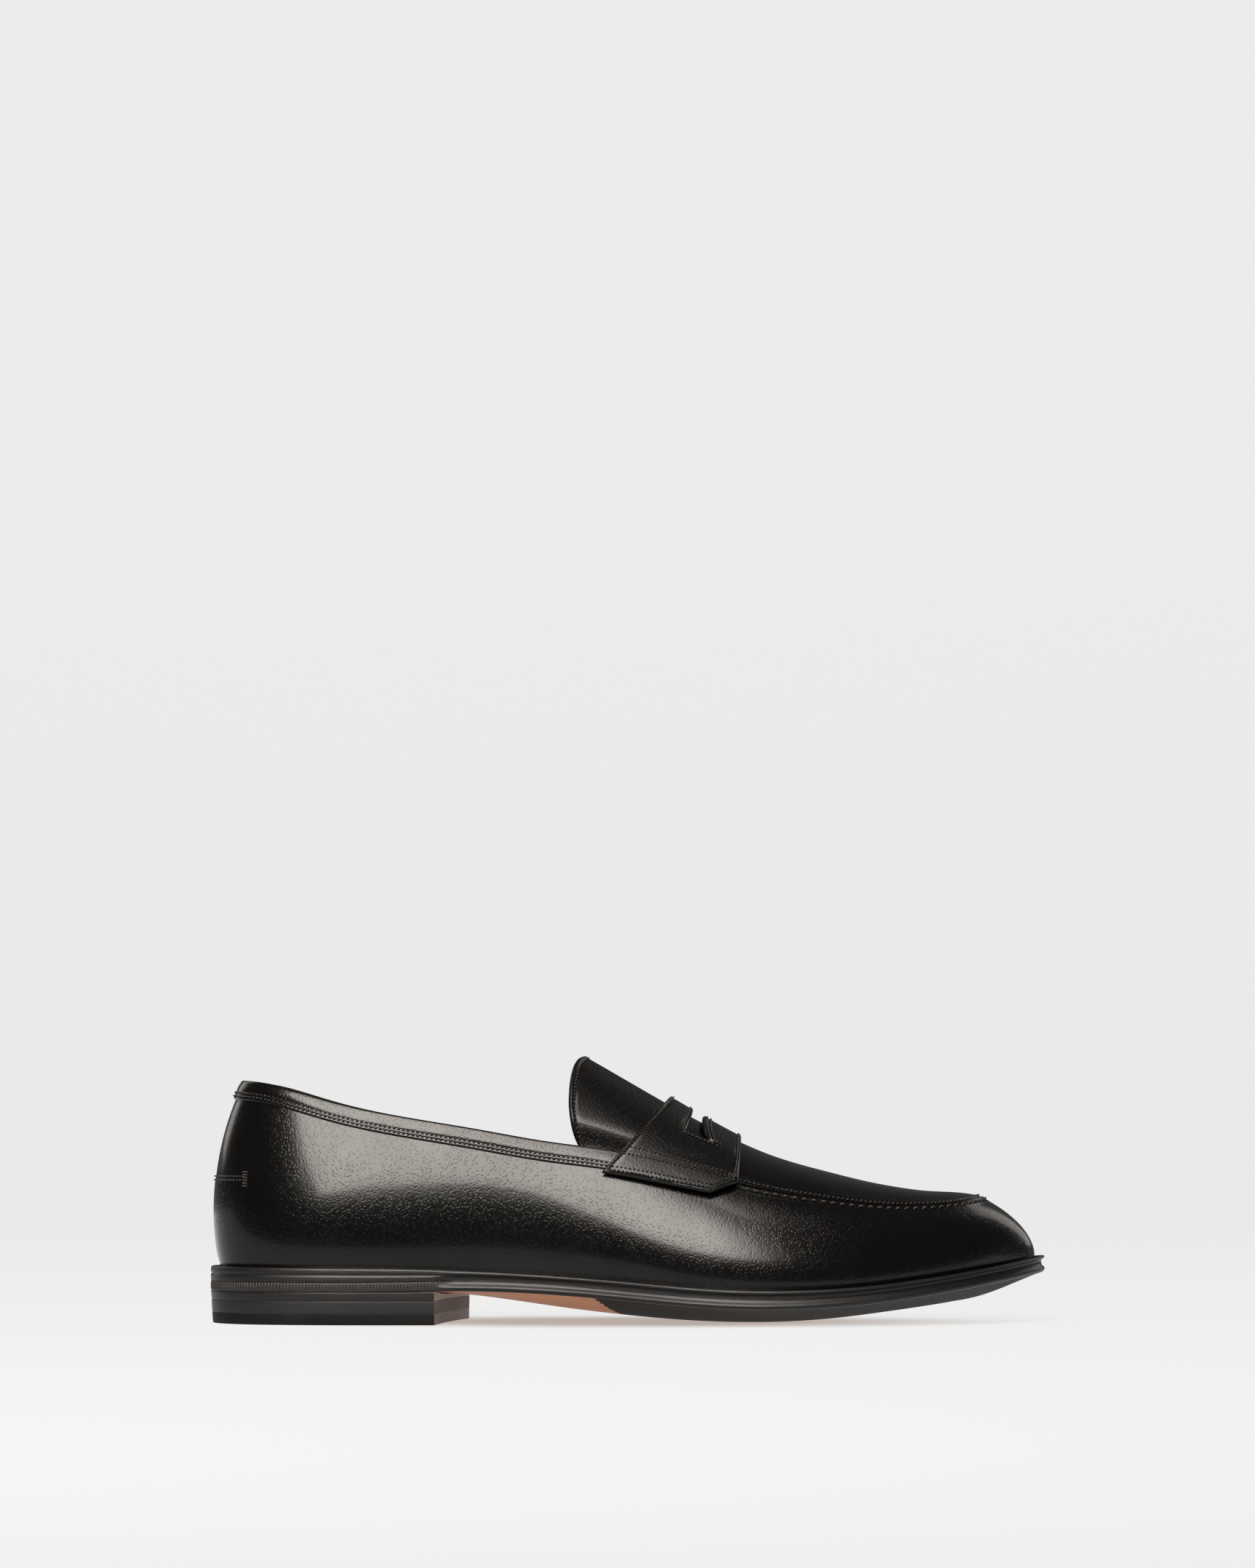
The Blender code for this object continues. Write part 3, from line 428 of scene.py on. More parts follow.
def skin(name, u, q, middle, thickness, finish, body, shape=None, radius=0.8, skip=None, stands_for=()):
    """A cut sheet of leather with rounded edges. shape(distance to the edge, u, q) is added on the outside."""
    u, q = np.broadcast_arrays(u, q)
    base = surface(u, q)
    index, kept = welded(base)
    faces = grid_faces(index, skip=skip)
    count = len(kept)
    flat = index.ravel()
    first = np.unique(flat, return_index=True)[1]
    places_u, places_q = u.ravel()[first], q.ravel()[first]
    edges = {(a, b) for face in faces for a, b in zip(face, face[1:] + face[:1])}
    rim = sorted({v for a, b in edges if (b, a) not in edges for v in (a, b)})
    tree = KDTree(len(rim))
    for n, v in enumerate(rim):
        tree.insert(kept[v], n)
    tree.balance()
    distance = np.array([tree.find(p)[2] for p in kept])
    distance[rim] = 0.0
    share = np.clip(distance / radius, 0.0, 1.0)
    half = thickness / 2 * np.sqrt(1 - (1 - share) ** 2)
    mid = middle(places_u, places_q) if callable(middle) else np.full(count, float(middle))
    extra = shape(distance, places_u, places_q) * smooth(distance / 0.5) if shape else 0.0
    n = normal(places_u, places_q)
    outside = kept + n * (mid + half + extra)[:, None]
    inside = kept + n * (mid - half)[:, None]
    back = np.arange(count) + count
    back[rim] = rim
    points = np.concatenate([outside, inside])
    faces_back = [[back[v] for v in reversed(face)] for face in faces]
    used = sorted({v for face in faces + faces_back for v in face})
    renumber = np.zeros(2 * count, int)
    renumber[used] = np.arange(len(used))
    all_faces = [[renumber[v] for v in face] for face in faces + faces_back]
    return add_piece(name, points[used], all_faces, finish, body, stands_for)


def resample(path, pitch):
    """Points at an even pitch along a path, the direction there, and the normals carried along."""
    points, normals = path
    lengths = np.concatenate([[0.0], np.cumsum(np.linalg.norm(np.diff(points, axis=0), axis=1))])
    count = max(2, int(lengths[-1] // pitch))
    at = (np.arange(count) + 0.5) * lengths[-1] / count

    def read(values, where):
        return np.stack([np.interp(where, lengths, values[:, k]) for k in range(3)], axis=1)

    middle = read(points, at)
    ahead = read(points, np.minimum(at + 0.2, lengths[-1])) - read(points, np.maximum(at - 0.2, 0.0))
    ahead /= np.linalg.norm(ahead, axis=1, keepdims=True)
    return middle, ahead, read(normals, at)


def row_on_upper(u, q, offset):
    return on_upper(u, q, offset), normal(u, q)


def stitches(name, paths, pitch, radius, finish, body, length=0.7, slant=0.0, arch=0.75, stands_for=()):
    """Rows of single stitches. Each is a short round thread that arches out of one hole and into the next."""
    sides, steps = 6, 7
    t = np.linspace(-1.0, 1.0, steps)
    thick = np.sqrt(np.clip(1 - np.abs(t) ** 5, 0.12, 1.0))
    points, faces = [], []
    for path in paths:
        middle, ahead, out = resample(path, pitch)
        side = np.cross(out, ahead)
        side /= np.linalg.norm(side, axis=1, keepdims=True)
        out = np.cross(ahead, side)
        run = ahead * math.cos(slant) + side * math.sin(slant)
        across = side * math.cos(slant) - ahead * math.sin(slant)
        for m, r, s, o in zip(middle, run, across, out):
            start = len(points)
            for k in range(steps):
                lift = radius * (arch * (1 - t[k] ** 2) * 1.6 - 0.75 * abs(t[k]) ** 3)
                centre = m + r * (t[k] * pitch * length / 2) + o * lift
                for a in range(sides):
                    angle = 2 * math.pi * a / sides
                    wide = s * math.cos(angle) + o * math.sin(angle)
                    points.append(centre + wide * (radius * thick[k]))
            for k in range(steps - 1):
                for a in range(sides):
                    b = (a + 1) % sides
                    row = start + k * sides
                    faces.append([row + a, row + b, row + b + sides, row + a + sides])
            faces.append([start + a for a in range(sides)][::-1])
            faces.append([start + (steps - 1) * sides + a for a in range(sides)])
    return add_piece(name, points, faces, finish, body, stands_for)


# ---------------------------------------------------------------- finishes


class Signal:
    """An output of a node. Arithmetic on it adds Math nodes to its finish."""

    def __init__(self, owner, socket):
        self.owner = owner
        self.socket = socket

    def math(self, operation, *values):
        return self.owner.add("ShaderNodeMath", (("operation", operation),), dict(enumerate(values)))

    def __add__(self, other):
        return self.math("ADD", self, other)

    def __radd__(self, other):
        return self.math("ADD", other, self)

    def __sub__(self, other):
        return self.math("SUBTRACT", self, other)

    def __rsub__(self, other):
        return self.math("SUBTRACT", other, self)

    def __mul__(self, other):
        return self.math("MULTIPLY", self, other)

    def __rmul__(self, other):
        return self.math("MULTIPLY", other, self)

    def ramp(self, low, high):
        """0 below low, 1 above high and a smooth step between."""
        steps = {"Value": self, "From Min": low, "From Max": high}
        return self.owner.add("ShaderNodeMapRange", (("interpolation_type", "SMOOTHSTEP"),), steps)


class Finish:
    """A named material whose Principled shader is fed by expressions."""

    def __init__(self, name, constants=None):
        self.material = bpy.data.materials.new(name)
        self.material.use_nodes = True
        self.tree = self.material.node_tree
        self.shader = self.tree.nodes["Principled BSDF"]
        for socket, value in (constants or {}).items():
            self.shader.inputs[socket].default_value = value
        self.place = self.add("ShaderNodeTexCoord", output="Object")

    def add(self, kind, settings=(), sockets=None, output=0):
        """Any node: its settings first, then the values or links of its sockets."""
        node = self.tree.nodes.new(kind)
        for key, value in settings:
            setattr(node, key, value)
        for key, value in (sockets or {}).items():
            self.plug(node.inputs[key], value)
        return Signal(self, node.outputs[output])

    def plug(self, slot, value):
        if isinstance(value, Signal):
            self.tree.links.new(value.socket, slot)
        else:
            slot.default_value = value

    def feed(self, socket, value):
        self.plug(self.shader.inputs[socket], value)

    def noise(self, scale, detail=4.0, roughness=0.55, stretch=None):
        place = self.place
        if stretch:
            place = self.add("ShaderNodeMapping", (), {"Vector": self.place, "Scale": stretch})
        sockets = {"Vector": place, "Scale": scale, "Detail": detail, "Roughness": roughness}
        return self.add("ShaderNodeTexNoise", (), sockets)

    def cells(self, scale, randomness=1.0):
        sockets = {"Vector": self.place, "Scale": scale, "Randomness": randomness}
        return self.add("ShaderNodeTexVoronoi", (("feature", "F1"),), sockets, "Distance")

    def blend(self, share, first, second):
        """Two colours mixed by a share."""
        pair = {n: v if isinstance(v, Signal) else (*v, 1.0) for n, v in ((6, first), (7, second))}
        return self.add("ShaderNodeMix", (("data_type", "RGBA"),), {0: share, **pair}, 2)

    def dye(self, pattern, low, high, colour, dark, light):
        """Base colour from a dark to a light shade of one colour, as the pattern goes from low to high."""
        self.feed("Base Color", self.blend(pattern.ramp(low, high), shade(colour, dark), shade(colour, light)))

    def relief(self, height, distance):
        """Bump from a height signal; distance is in metres."""
        self.feed("Normal", self.add("ShaderNodeBump", (), {"Height": height, "Distance": distance}))


def shade(colour, factor):
    return tuple(c * factor for c in colour)


def polished_calf(name, colour, gloss, grain=1.0):
    """Polished box calf: very fine closed grain, soft variation in the dye and a waxed top coat."""
    constants = {"Specular IOR Level": 0.22, "Coat Roughness": 0.1, "Coat IOR": 1.45}
    calf = Finish(name, constants)
    dye = calf.noise(38.0, 5.0, 0.6)
    calf.dye(dye, 0.3, 0.75, colour, 0.7, 1.5)
    pores = calf.cells(1050.0).ramp(0.05, 0.5)
    hairs = calf.noise(2600.0, 2.0, 0.5)
    flow = calf.noise(70.0, 3.0, 0.5)
    cloud = calf.noise(420.0, 3.0, 0.6)
    calf.feed("Roughness", gloss + cloud * 0.1 + (1 - pores) * 0.06)
    calf.feed("Coat Weight", 0.12 + flow * 0.2)
    calf.relief(pores * (0.6 * grain) + hairs * (0.3 * grain) + flow * 1.2 + cloud * 0.7, 0.00007)
    return calf.material


def inked_edge(name, colour, gloss=0.3):
    """Edge of stacked leather, inked and waxed: faint fibre lines run along it."""
    edge = Finish(name, {"Coat Roughness": 0.2, "Specular IOR Level": 0.3})
    fibres = edge.noise(900.0, 4.0, 0.7, (0.16, 0.16, 2.2))
    wear = edge.noise(60.0, 4.0, 0.6)
    edge.dye(fibres, 0.35, 0.8, colour, 0.8, 1.7)
    edge.feed("Roughness", gloss + fibres * 0.16 + wear * 0.12)
    edge.feed("Coat Weight", 0.05 + wear * 0.12)
    edge.relief(fibres * 0.8 + wear * 0.5, 0.0001)
    return edge.material


def natural_leather(name, colour, roughness=0.55, scale=1.0, tint=(0.62, 0.3, 0.16)):
    """Undyed vegetable-tanned leather with pores and a slightly uneven tan."""
    hide = Finish(name)
    tan = hide.noise(26.0 * scale, 6.0, 0.62)
    flecks = hide.cells(900.0 * scale).ramp(0.0, 0.35)
    fibre = hide.noise(700.0 * scale, 5.0, 0.65, (0.45, 1.0, 1.0))
    base = hide.blend(tan.ramp(0.32, 0.72), shade(colour, 0.86), shade(colour, 1.1))
    base = hide.blend((1 - flecks) * 0.22 + fibre.ramp(0.55, 0.9) * 0.15, base, tint)
    hide.feed("Base Color", base)
    hide.feed("Roughness", roughness - 0.12 + tan * 0.2 + fibre * 0.08)
    hide.relief(flecks * 0.7 + fibre * 0.6 + tan * 1.5, 0.00012)
    return hide.material


def waxed_thread(name, colour):
    """Twisted waxed thread."""
    thread = Finish(name, {"Specular IOR Level": 0.4})
    bands = {"Vector": thread.place, "Scale": 900.0, "Distortion": 0.6}
    twist = thread.add("ShaderNodeTexWave", (("bands_direction", "DIAGONAL"),), bands, "Fac")
    fluff = thread.noise(2600.0, 3.0, 0.6)
    thread.dye(twist, 0.2, 0.9, colour, 0.55, 1.6)
    thread.feed("Roughness", 0.42 + fluff * 0.2)
    thread.relief(twist + fluff * 0.4, 0.00005)
    return thread.material


def moulded_rubber(name, colour, studs=True):
    """Moulded rubber with a fine pattern of raised dots."""
    rubber = Finish(name, {"Specular IOR Level": 0.1})
    dots = rubber.cells(560.0, 0.0)
    cloud = rubber.noise(55.0, 5.0, 0.6)
    dust = rubber.noise(900.0, 4.0, 0.6)
    raised = 1 - dots.ramp(0.18, 0.34)
    rubber.dye(cloud, 0.35, 0.8, colour, 0.8, 1.6)
    rubber.feed("Roughness", 0.5 + dust * 0.2 - raised * 0.06)
    rubber.relief((raised if studs else dust) * 1.0 + dust * 0.35, 0.00016)
    return rubber.material


def stacked_leather(name, colour, second):
    """Scraped face of the heel's lifts: diagonal tool marks over stained fibre."""
    stack = Finish(name)
    marks = stack.noise(520.0, 4.0, 0.7, (0.5, 0.35, 3.0))
    stain = stack.noise(120.0, 4.0, 0.6)
    stack.feed("Base Color", stack.blend(marks.ramp(0.35, 0.7) * 0.6 + stain * 0.35, colour, second))
    stack.feed("Roughness", 0.45 + marks * 0.25)
    stack.relief(marks + stain * 0.5, 0.00022)
    return stack.material


def fibre_board(name, colour):
    board = Finish(name)
    flakes = board.noise(480.0, 6.0, 0.7)
    clumps = board.noise(70.0, 4.0, 0.5)
    board.dye(flakes, 0.3, 0.75, colour, 0.72, 1.12)
    board.feed("Roughness", 0.72 + clumps * 0.2)
    board.relief(flakes + clumps * 0.6, 0.00015)
    return board.material


def ground_cork(name, colour):
    cork = Finish(name)
    grains = cork.cells(420.0)
    dark = cork.noise(300.0, 5.0, 0.7)
    share = grains.ramp(0.1, 0.6) * 0.6 + dark * 0.3
    cork.feed("Base Color", cork.blend(share, shade(colour, 1.15), shade(colour, 0.4)))
    cork.feed("Roughness", 0.8 + dark * 0.15)
    cork.relief(grains + dark * 0.5, 0.0003)
    return cork.material


def plain_steel(name, colour):
    steel = Finish(name, {"Metallic": 1.0})
    brushed = steel.noise(900.0, 4.0, 0.6, (0.08, 1.0, 1.0))
    spots = steel.noise(160.0, 4.0, 0.6)
    steel.feed("Base Color", steel.blend(spots.ramp(0.55, 0.8) * 0.5, colour, shade(colour, 0.5)))
    steel.feed("Roughness", 0.3 + brushed * 0.2 + spots * 0.1)
    steel.relief(brushed, 0.00003)
    return steel.material


def pale_paper(name, colour, glow):
    """Floor and backdrop. The glow stands for the even light of a lit cove; beside the shoe it is dimmed and tinted
    warm, a painted contact shadow.
    """
    paper = Finish(name, {"Emission Strength": glow, "Specular IOR Level": 0.0, "Roughness": 0.9})
    tooth = paper.noise(300.0, 4.0, 0.5)
    paper.feed("Base Color", paper.blend(tooth, shade(colour, 0.985), colour))
    # painted contact shadow: in an oval round the shoe's footprint the glow turns darker and warmer, towards (0.6,
    # 0.52, 0.47)
    near = paper.add("ShaderNodeMapping", (), {"Vector": paper.place, "Scale": (7.2, 17.0, 0.3)})
    reach = paper.add("ShaderNodeVectorMath", (("operation", "LENGTH"),), {0: near}, "Value")
    paper.feed("Emission Color", paper.blend(reach.ramp(0.35, 1.12), (0.6, 0.52, 0.47), (1.0, 1.0, 1.0)))
    return paper.material


FINISHES = {}


def finish(name):
    """A finish of this shoe, made the first time that it is asked for."""
    if name not in FINISHES:
        dyes, studio = bpy.context.scene.loafer_colours, bpy.context.scene.loafer_studio
        make = {
            "black_calf": lambda: polished_calf("black_calf", tuple(dyes.calf), 0.15),
            "soft_calf": lambda: polished_calf("soft_calf", tuple(dyes.calf), 0.27, 1.6),
            "lining_leather": lambda: natural_leather("lining_leather", tuple(dyes.lining), 0.6, 1.4),
            "sole_leather": lambda: natural_leather("sole_leather", tuple(dyes.sole), 0.42),
            "channel_burnish": lambda: natural_leather("channel_burnish", (0.14, 0.06, 0.03), 0.45),
            "edge_black": lambda: inked_edge("edge_black", tuple(dyes.edge)),
            "wheel_ink": lambda: inked_edge("wheel_ink", (0.02, 0.017, 0.015), 0.42),
            "heel_stack": lambda: inked_edge("heel_stack", tuple(dyes.heel), 0.36),
            "breast_pale": lambda: stacked_leather("breast_pale", (0.45, 0.4, 0.35), (0.24, 0.19, 0.15)),
            "breast_brown": lambda: stacked_leather("breast_brown", (0.06, 0.045, 0.04), (0.15, 0.11, 0.1)),
            "breast_grey": lambda: stacked_leather("breast_grey", (0.24, 0.22, 0.21), (0.1, 0.09, 0.09)),
            "rubber": lambda: moulded_rubber("rubber", tuple(dyes.rubber)),
            "top_piece_rubber": lambda: moulded_rubber("top_piece_rubber", tuple(dyes.rubber), False),
            "thread": lambda: waxed_thread("thread", tuple(dyes.thread)),
            "stiffener_board": lambda: fibre_board("stiffener_board", (0.7, 0.62, 0.5)),
            "cork": lambda: ground_cork("cork", (0.5, 0.32, 0.17)),
            "steel": lambda: plain_steel("steel", (0.6, 0.6, 0.62)),
            "paper": lambda: pale_paper("paper", (0.05, 0.05, 0.05), studio.glow),
        }
        FINISHES[name] = make[name]()
    return FINISHES[name]


# ---------------------------------------------------------------- upper


def round_rows(count):
    return np.arange(count) * (2 * HALF / count)


def seam_share(u):
    """1 along the moccasin seam, 0 behind the strap."""
    side = np.minimum(u % (2 * HALF), 2 * HALF - u % (2 * HALF))
    start, stop = top_at(34.0), top_at(39.0)
    return smooth((side - start) / (stop - start))


def make_wall():
    """The one-piece wall, with the raised moccasin seam and the back seam."""
    u = round_rows(ROUND_COUNT)
    drops = np.array([0.0, 0.12, 0.3, 0.55, 0.85, 1.2, 1.55, 1.9, 2.2, 2.45, 2.7, 2.95, 3.25, 3.7, 4.4, 5.4, 6.6, 8.0])
    seam = seam_share(u)
    clear = mix(1.35, 0.25, seam)
    columns, outside = [], []
    for drop in drops[::-1]:
        columns.append(below_top(u, clear + drop))
        puff = 0.45 * bump_at(drop, 1.0, 0.6) - 0.22 * bump_at(drop, 1.95, 0.33)
        puff = puff + 0.12 * bump_at(drop, 2.9, 0.6)
        edge = -0.6 * (1 - min(1.0, drop / 0.6)) ** 2
        outside.append(seam * puff + edge)
    low = np.linspace(0.0, 1.0, 26)[:-1]
    lower_q = [columns[0] * s for s in low]
    back_x = RING.at(u)[..., 0]
    rows = []
    toe, heel = (overhang(u) + 8.0) / sole_width(u), (overhang(u) + 0.2) / sole_width(u)
    base = OUTSOLE + GAP
    rows.append(sole_point(u, toe, base))
    rows.append(sole_point(u, heel, base))
    for q in lower_q:
        p = surface(u, q)
        ridge = 0.35 * bump_at(p[..., 1], 0.0, 1.1) * (back_x < 0) * smooth((52.0 - p[..., 2]) / 0.8)
        rows.append(on_upper(u, q, ridge * smooth(q / 0.06)))
    for q, out in zip(columns, outside):
        rows.append(on_upper(u, q, out))
    for q, drop in zip(columns[::-1], drops):
        rows.append(on_upper(u, q, -CALF + 0.5 * (1 - min(1.0, drop / 0.6)) ** 2))
    for q in lower_q[:2:-1]:
        rows.append(on_upper(u, q, -CALF))
    rows.append(sole_point(u, (overhang(u) + 1.6) / sole_width(u), base + CALF + 0.2))
    rows.append(sole_point(u, toe, base + CALF))
    loft("wall", np.stack(rows, axis=1), finish("black_calf"), "shoe", True, ("vamp_quarter",))


def make_apron():
    """The plug over the toes."""
    start = top_at(APRON_BACK_X)
    length = 2 * (HALF - start)
    u = start + spaced(length, 1.6) * length
    q = mix(APRON_EDGE_Q, 2.0, from_edge(25.0, 1.2))

    def shape(distance, places_u, places_q):
        seam = seam_share(places_u)
        edge = (places_q - APRON_EDGE_Q) * 25.0
        return seam * (-0.24 * bump_at(edge, 1.2, 0.4) + 0.16 * bump_at(edge, 2.5, 0.9))

    skin("apron", u[None, :], q[:, None], -CALF / 2, CALF, finish("black_calf"), "shoe", shape,
         0.7, None, ("apron",))
    start = top_at(32.0)
    u = start + np.linspace(0, 1, 240) * 2 * (HALF - start)
    q = np.linspace(0.95, 1.05, 9)
    skin("seam_allowance", u[None, :], q[:, None], -CALF - GAP / 2, 0.16, finish("black_calf"), "shoe",
         None, 0.2)


def make_collar():
    """The folded band round the foot opening, with its padded top edge and stitched lower edge."""
    end = top_at(3.0)
    u = np.linspace(-end, end, 420)
    near, far = 0.05, 0.05 + BAND
    deep = -CALF - GAP - LINING - GAP
    inner = deep - BAND
    rows = []
    for drop in (7.4, 7.38, 7.25, 7.0, 6.6, 6.25, 5.95, 5.6, 5.25, 4.95, 4.65, 4.2, 3.6, 2.9, 2.1, 1.3, 0.8):
        low = COLLAR_DEPTH - drop
        round_off = (far - near) * (1 - np.sqrt(1 - (1 - min(1.0, low / 0.45)) ** 2)) if low < 0.45 else 0.0
        grooves = -0.16 * bump_at(drop, 6.2, 0.28) - 0.16 * bump_at(drop, 4.9, 0.28)
        puff = 0.22 * bump_at(drop, 3.0, 1.6) + 0.12 * bump_at(drop, 5.55, 0.35)
        rows.append(on_upper(u, below_top(u, drop), far - round_off + grooves + puff))
    fold_q = below_top(u, 0.8)
    base = surface(u, fold_q)
    n = normal(u, fold_q)
    rise = surface(u, below_top(u, 0.2)) - surface(u, below_top(u, 1.2))
    rise /= np.linalg.norm(rise, axis=-1, keepdims=True)
    centre, radius = (far + inner) / 2, (far - inner) / 2
    for k in range(1, 12):
        angle = math.pi * k / 12
        rows.append(base + n * (centre + radius * math.cos(angle)) + rise * (1.25 * math.sin(angle) ** 0.8))
    for drop in (0.8, 2.2, 3.6, 4.6, 4.9):
        rows.append(on_upper(u, below_top(u, drop), inner))
    rows.append(on_upper(u, below_top(u, 5.0), inner + 0.35))
    for drop, offset in ((5.0, deep), (1.5, deep), (1.0, deep + 0.4), (1.0, near - 0.4), (1.5, near), (5.0, near)):
        rows.append(on_upper(u, below_top(u, drop), offset))
    loft("collar", np.stack(rows, axis=1), finish("black_calf"), "shoe", False, ("collar_band",))


def mirrored(u, q):
    """A patch on the outer side, continued over the crest to the inner side."""
    whole_u = np.concatenate([u, 2 * HALF - u[-2::-1]])
    whole_q = np.concatenate([q, q[-2::-1]])
    return whole_u, whole_q


def tongue_edge(q):
    q = np.asarray(q, float)
    ahead = TONGUE_BULGE_X + 5.2 * ((q - TONGUE_BULGE_Q) / (2 - TONGUE_BULGE_Q)) ** 2
    share = np.clip((TONGUE_BULGE_Q - q) / (TONGUE_BULGE_Q - 0.9), 0.0, 1.0)
    behind = TONGUE_BULGE_X + 14.0 * (1 - np.sqrt(1 - share * share))
    x = np.where(q > TONGUE_BULGE_Q, ahead, behind)
    low, high = np.full(q.shape, top_at(-70.0)), np.full(q.shape, top_at(TONGUE_FRONT_X))
    return find(lambda u: surface(u, q)[..., 0] - x, low, high)


def tongue_outer(q):
    return -TONGUE_TUCK * (1 - smooth((np.asarray(q) - 1.02) / 0.26))


def tongue_patch(trim=0.0):
    q = mix(0.93 + trim, 2.0, from_edge(46.0, 1.1))
    front = top_at(TONGUE_FRONT_X)
    share = spaced(34.0, 1.0)
    u = mix(front, tongue_edge(q)[:, None], share[None, :] * (1 - trim / 3))
    return mirrored(u, np.broadcast_to(q[:, None], u.shape))


def make_tongue():
    """The tongue, its lining and its row of stitches. Low down they sink inwards under the top line."""
    u, q = tongue_patch()

    def shape(distance, places_u, places_q):
        return 0.28 * bump_at(distance, 1.0, 0.7) - 0.2 * bump_at(distance, 2.05, 0.3)

    outer = skin("tongue_leather", u, q, lambda a, b: tongue_outer(b) - CALF / 2, CALF, finish("soft_calf"),
                 None, shape, 0.9, None, ("tongue",))
    u, q = tongue_patch(0.03)
    middle = CALF + 0.12 + LINING / 2
    inner = skin("tongue_back", u, q, lambda a, b: tongue_outer(b) - middle, LINING, finish("lining_leather"),
                 None, None, 0.4, None, ("tongue_lining",))
    for piece in (outer, inner):
        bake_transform(piece)
    heights = np.linspace(1.1, 2.0, 80)
    edge = tongue_edge(heights)
    width = np.linalg.norm(surface(top_at(TONGUE_FRONT_X), heights) - surface(edge, heights), axis=-1)
    places = mix(edge, top_at(TONGUE_FRONT_X), 2.0 / width)
    places, heights = mirrored(places, heights)
    row = row_on_upper(places, heights, tongue_outer(heights) - 0.05)
    sizes = bpy.context.scene.loafer_sizes
    stitches("tongue_stitches", [row], sizes.fine_pitch / MM, sizes.thread / MM, finish("thread"), "tongue",
             stands_for=("tongue_thread",))


def strap_width(q):
    rear, front = edge_place(STRAP_REAR, q), edge_place(STRAP_FRONT, q)
    return rear, front, np.linalg.norm(surface(front, q) - surface(rear, q), axis=-1)


def saddle_base(u, q):
    """How far the saddle's inside stands off the upper. It lies closer on the instep than on the collar."""
    side = u % (2 * HALF)
    share = (np.minimum(side, 2 * HALF - side) - top_at(-6.0)) / (top_at(40.0) - top_at(-6.0))
    instep = mix(1.4, 0.5, smooth(share))
    return mix(SADDLE_BASE, instep, smooth((q - 1.0) / 0.15))


def slot_shares(q):
    """Shares across the strap where the slot starts and ends. Its front edge bows back as a half-moon tab."""
    q = np.maximum(q, SLOT_END_Q)
    width = strap_width(q)[2]
    away = (2.0 - q) / (2.0 - SLOT_END_Q)
    bow = 1 - np.sqrt(np.maximum(0.0, 1 - away * away))
    start = mix(0.34, 0.39, away)
    return start, start + mix(4.2, 10.0, bow) / width


def saddle_place(share, level):
    """(u, q) on the outer half: share 0 is the rear edge and 1 the front edge. Below level 0 lies the end on
    the wall, down to -1 at its lower edge, and above it the strap, up to 1 on the crest."""
    share, level = np.broadcast_arrays(np.asarray(share, float), np.asarray(level, float))
    q = mix(SADDLE_JOIN_Q, 2.0, np.clip(level, 0.0, 1.0))
    rows, back = np.unique(q, return_inverse=True)
    rear, front, _ = strap_width(rows)
    back = back.reshape(q.shape)
    u = mix(rear[back], front[back], share)
    corners = [wall_place(*STRAP_REAR[0]), wall_place(*TAB_CORNER), wall_place(STRAP_FRONT[0][0], 48.6)]
    down = np.clip(-level, 0.0, 1.0)
    low_u, low_q = (np.interp(share, (0.0, 0.8, 1.0), [c[n] for c in corners]) for n in (0, 1))
    return mix(u, low_u, down), mix(q, low_q, down)


def strap_level(q):
    return (q - SADDLE_JOIN_Q) / (2.0 - SADDLE_JOIN_Q)


def inset_share(level, inset):
    """Share that lies this far in from the rear edge, or from the front edge where inset is negative."""
    rear, front = (surface(*saddle_place(side, level)) for side in (0.0, 1.0))
    share = abs(inset) / np.linalg.norm(front - rear, axis=-1)
    return share if inset > 0 else 1 - share


def saddle_row(share, level):
    """Both halves of a row of stitches, joined over the crest."""
    return mirrored(*saddle_place(share, level))


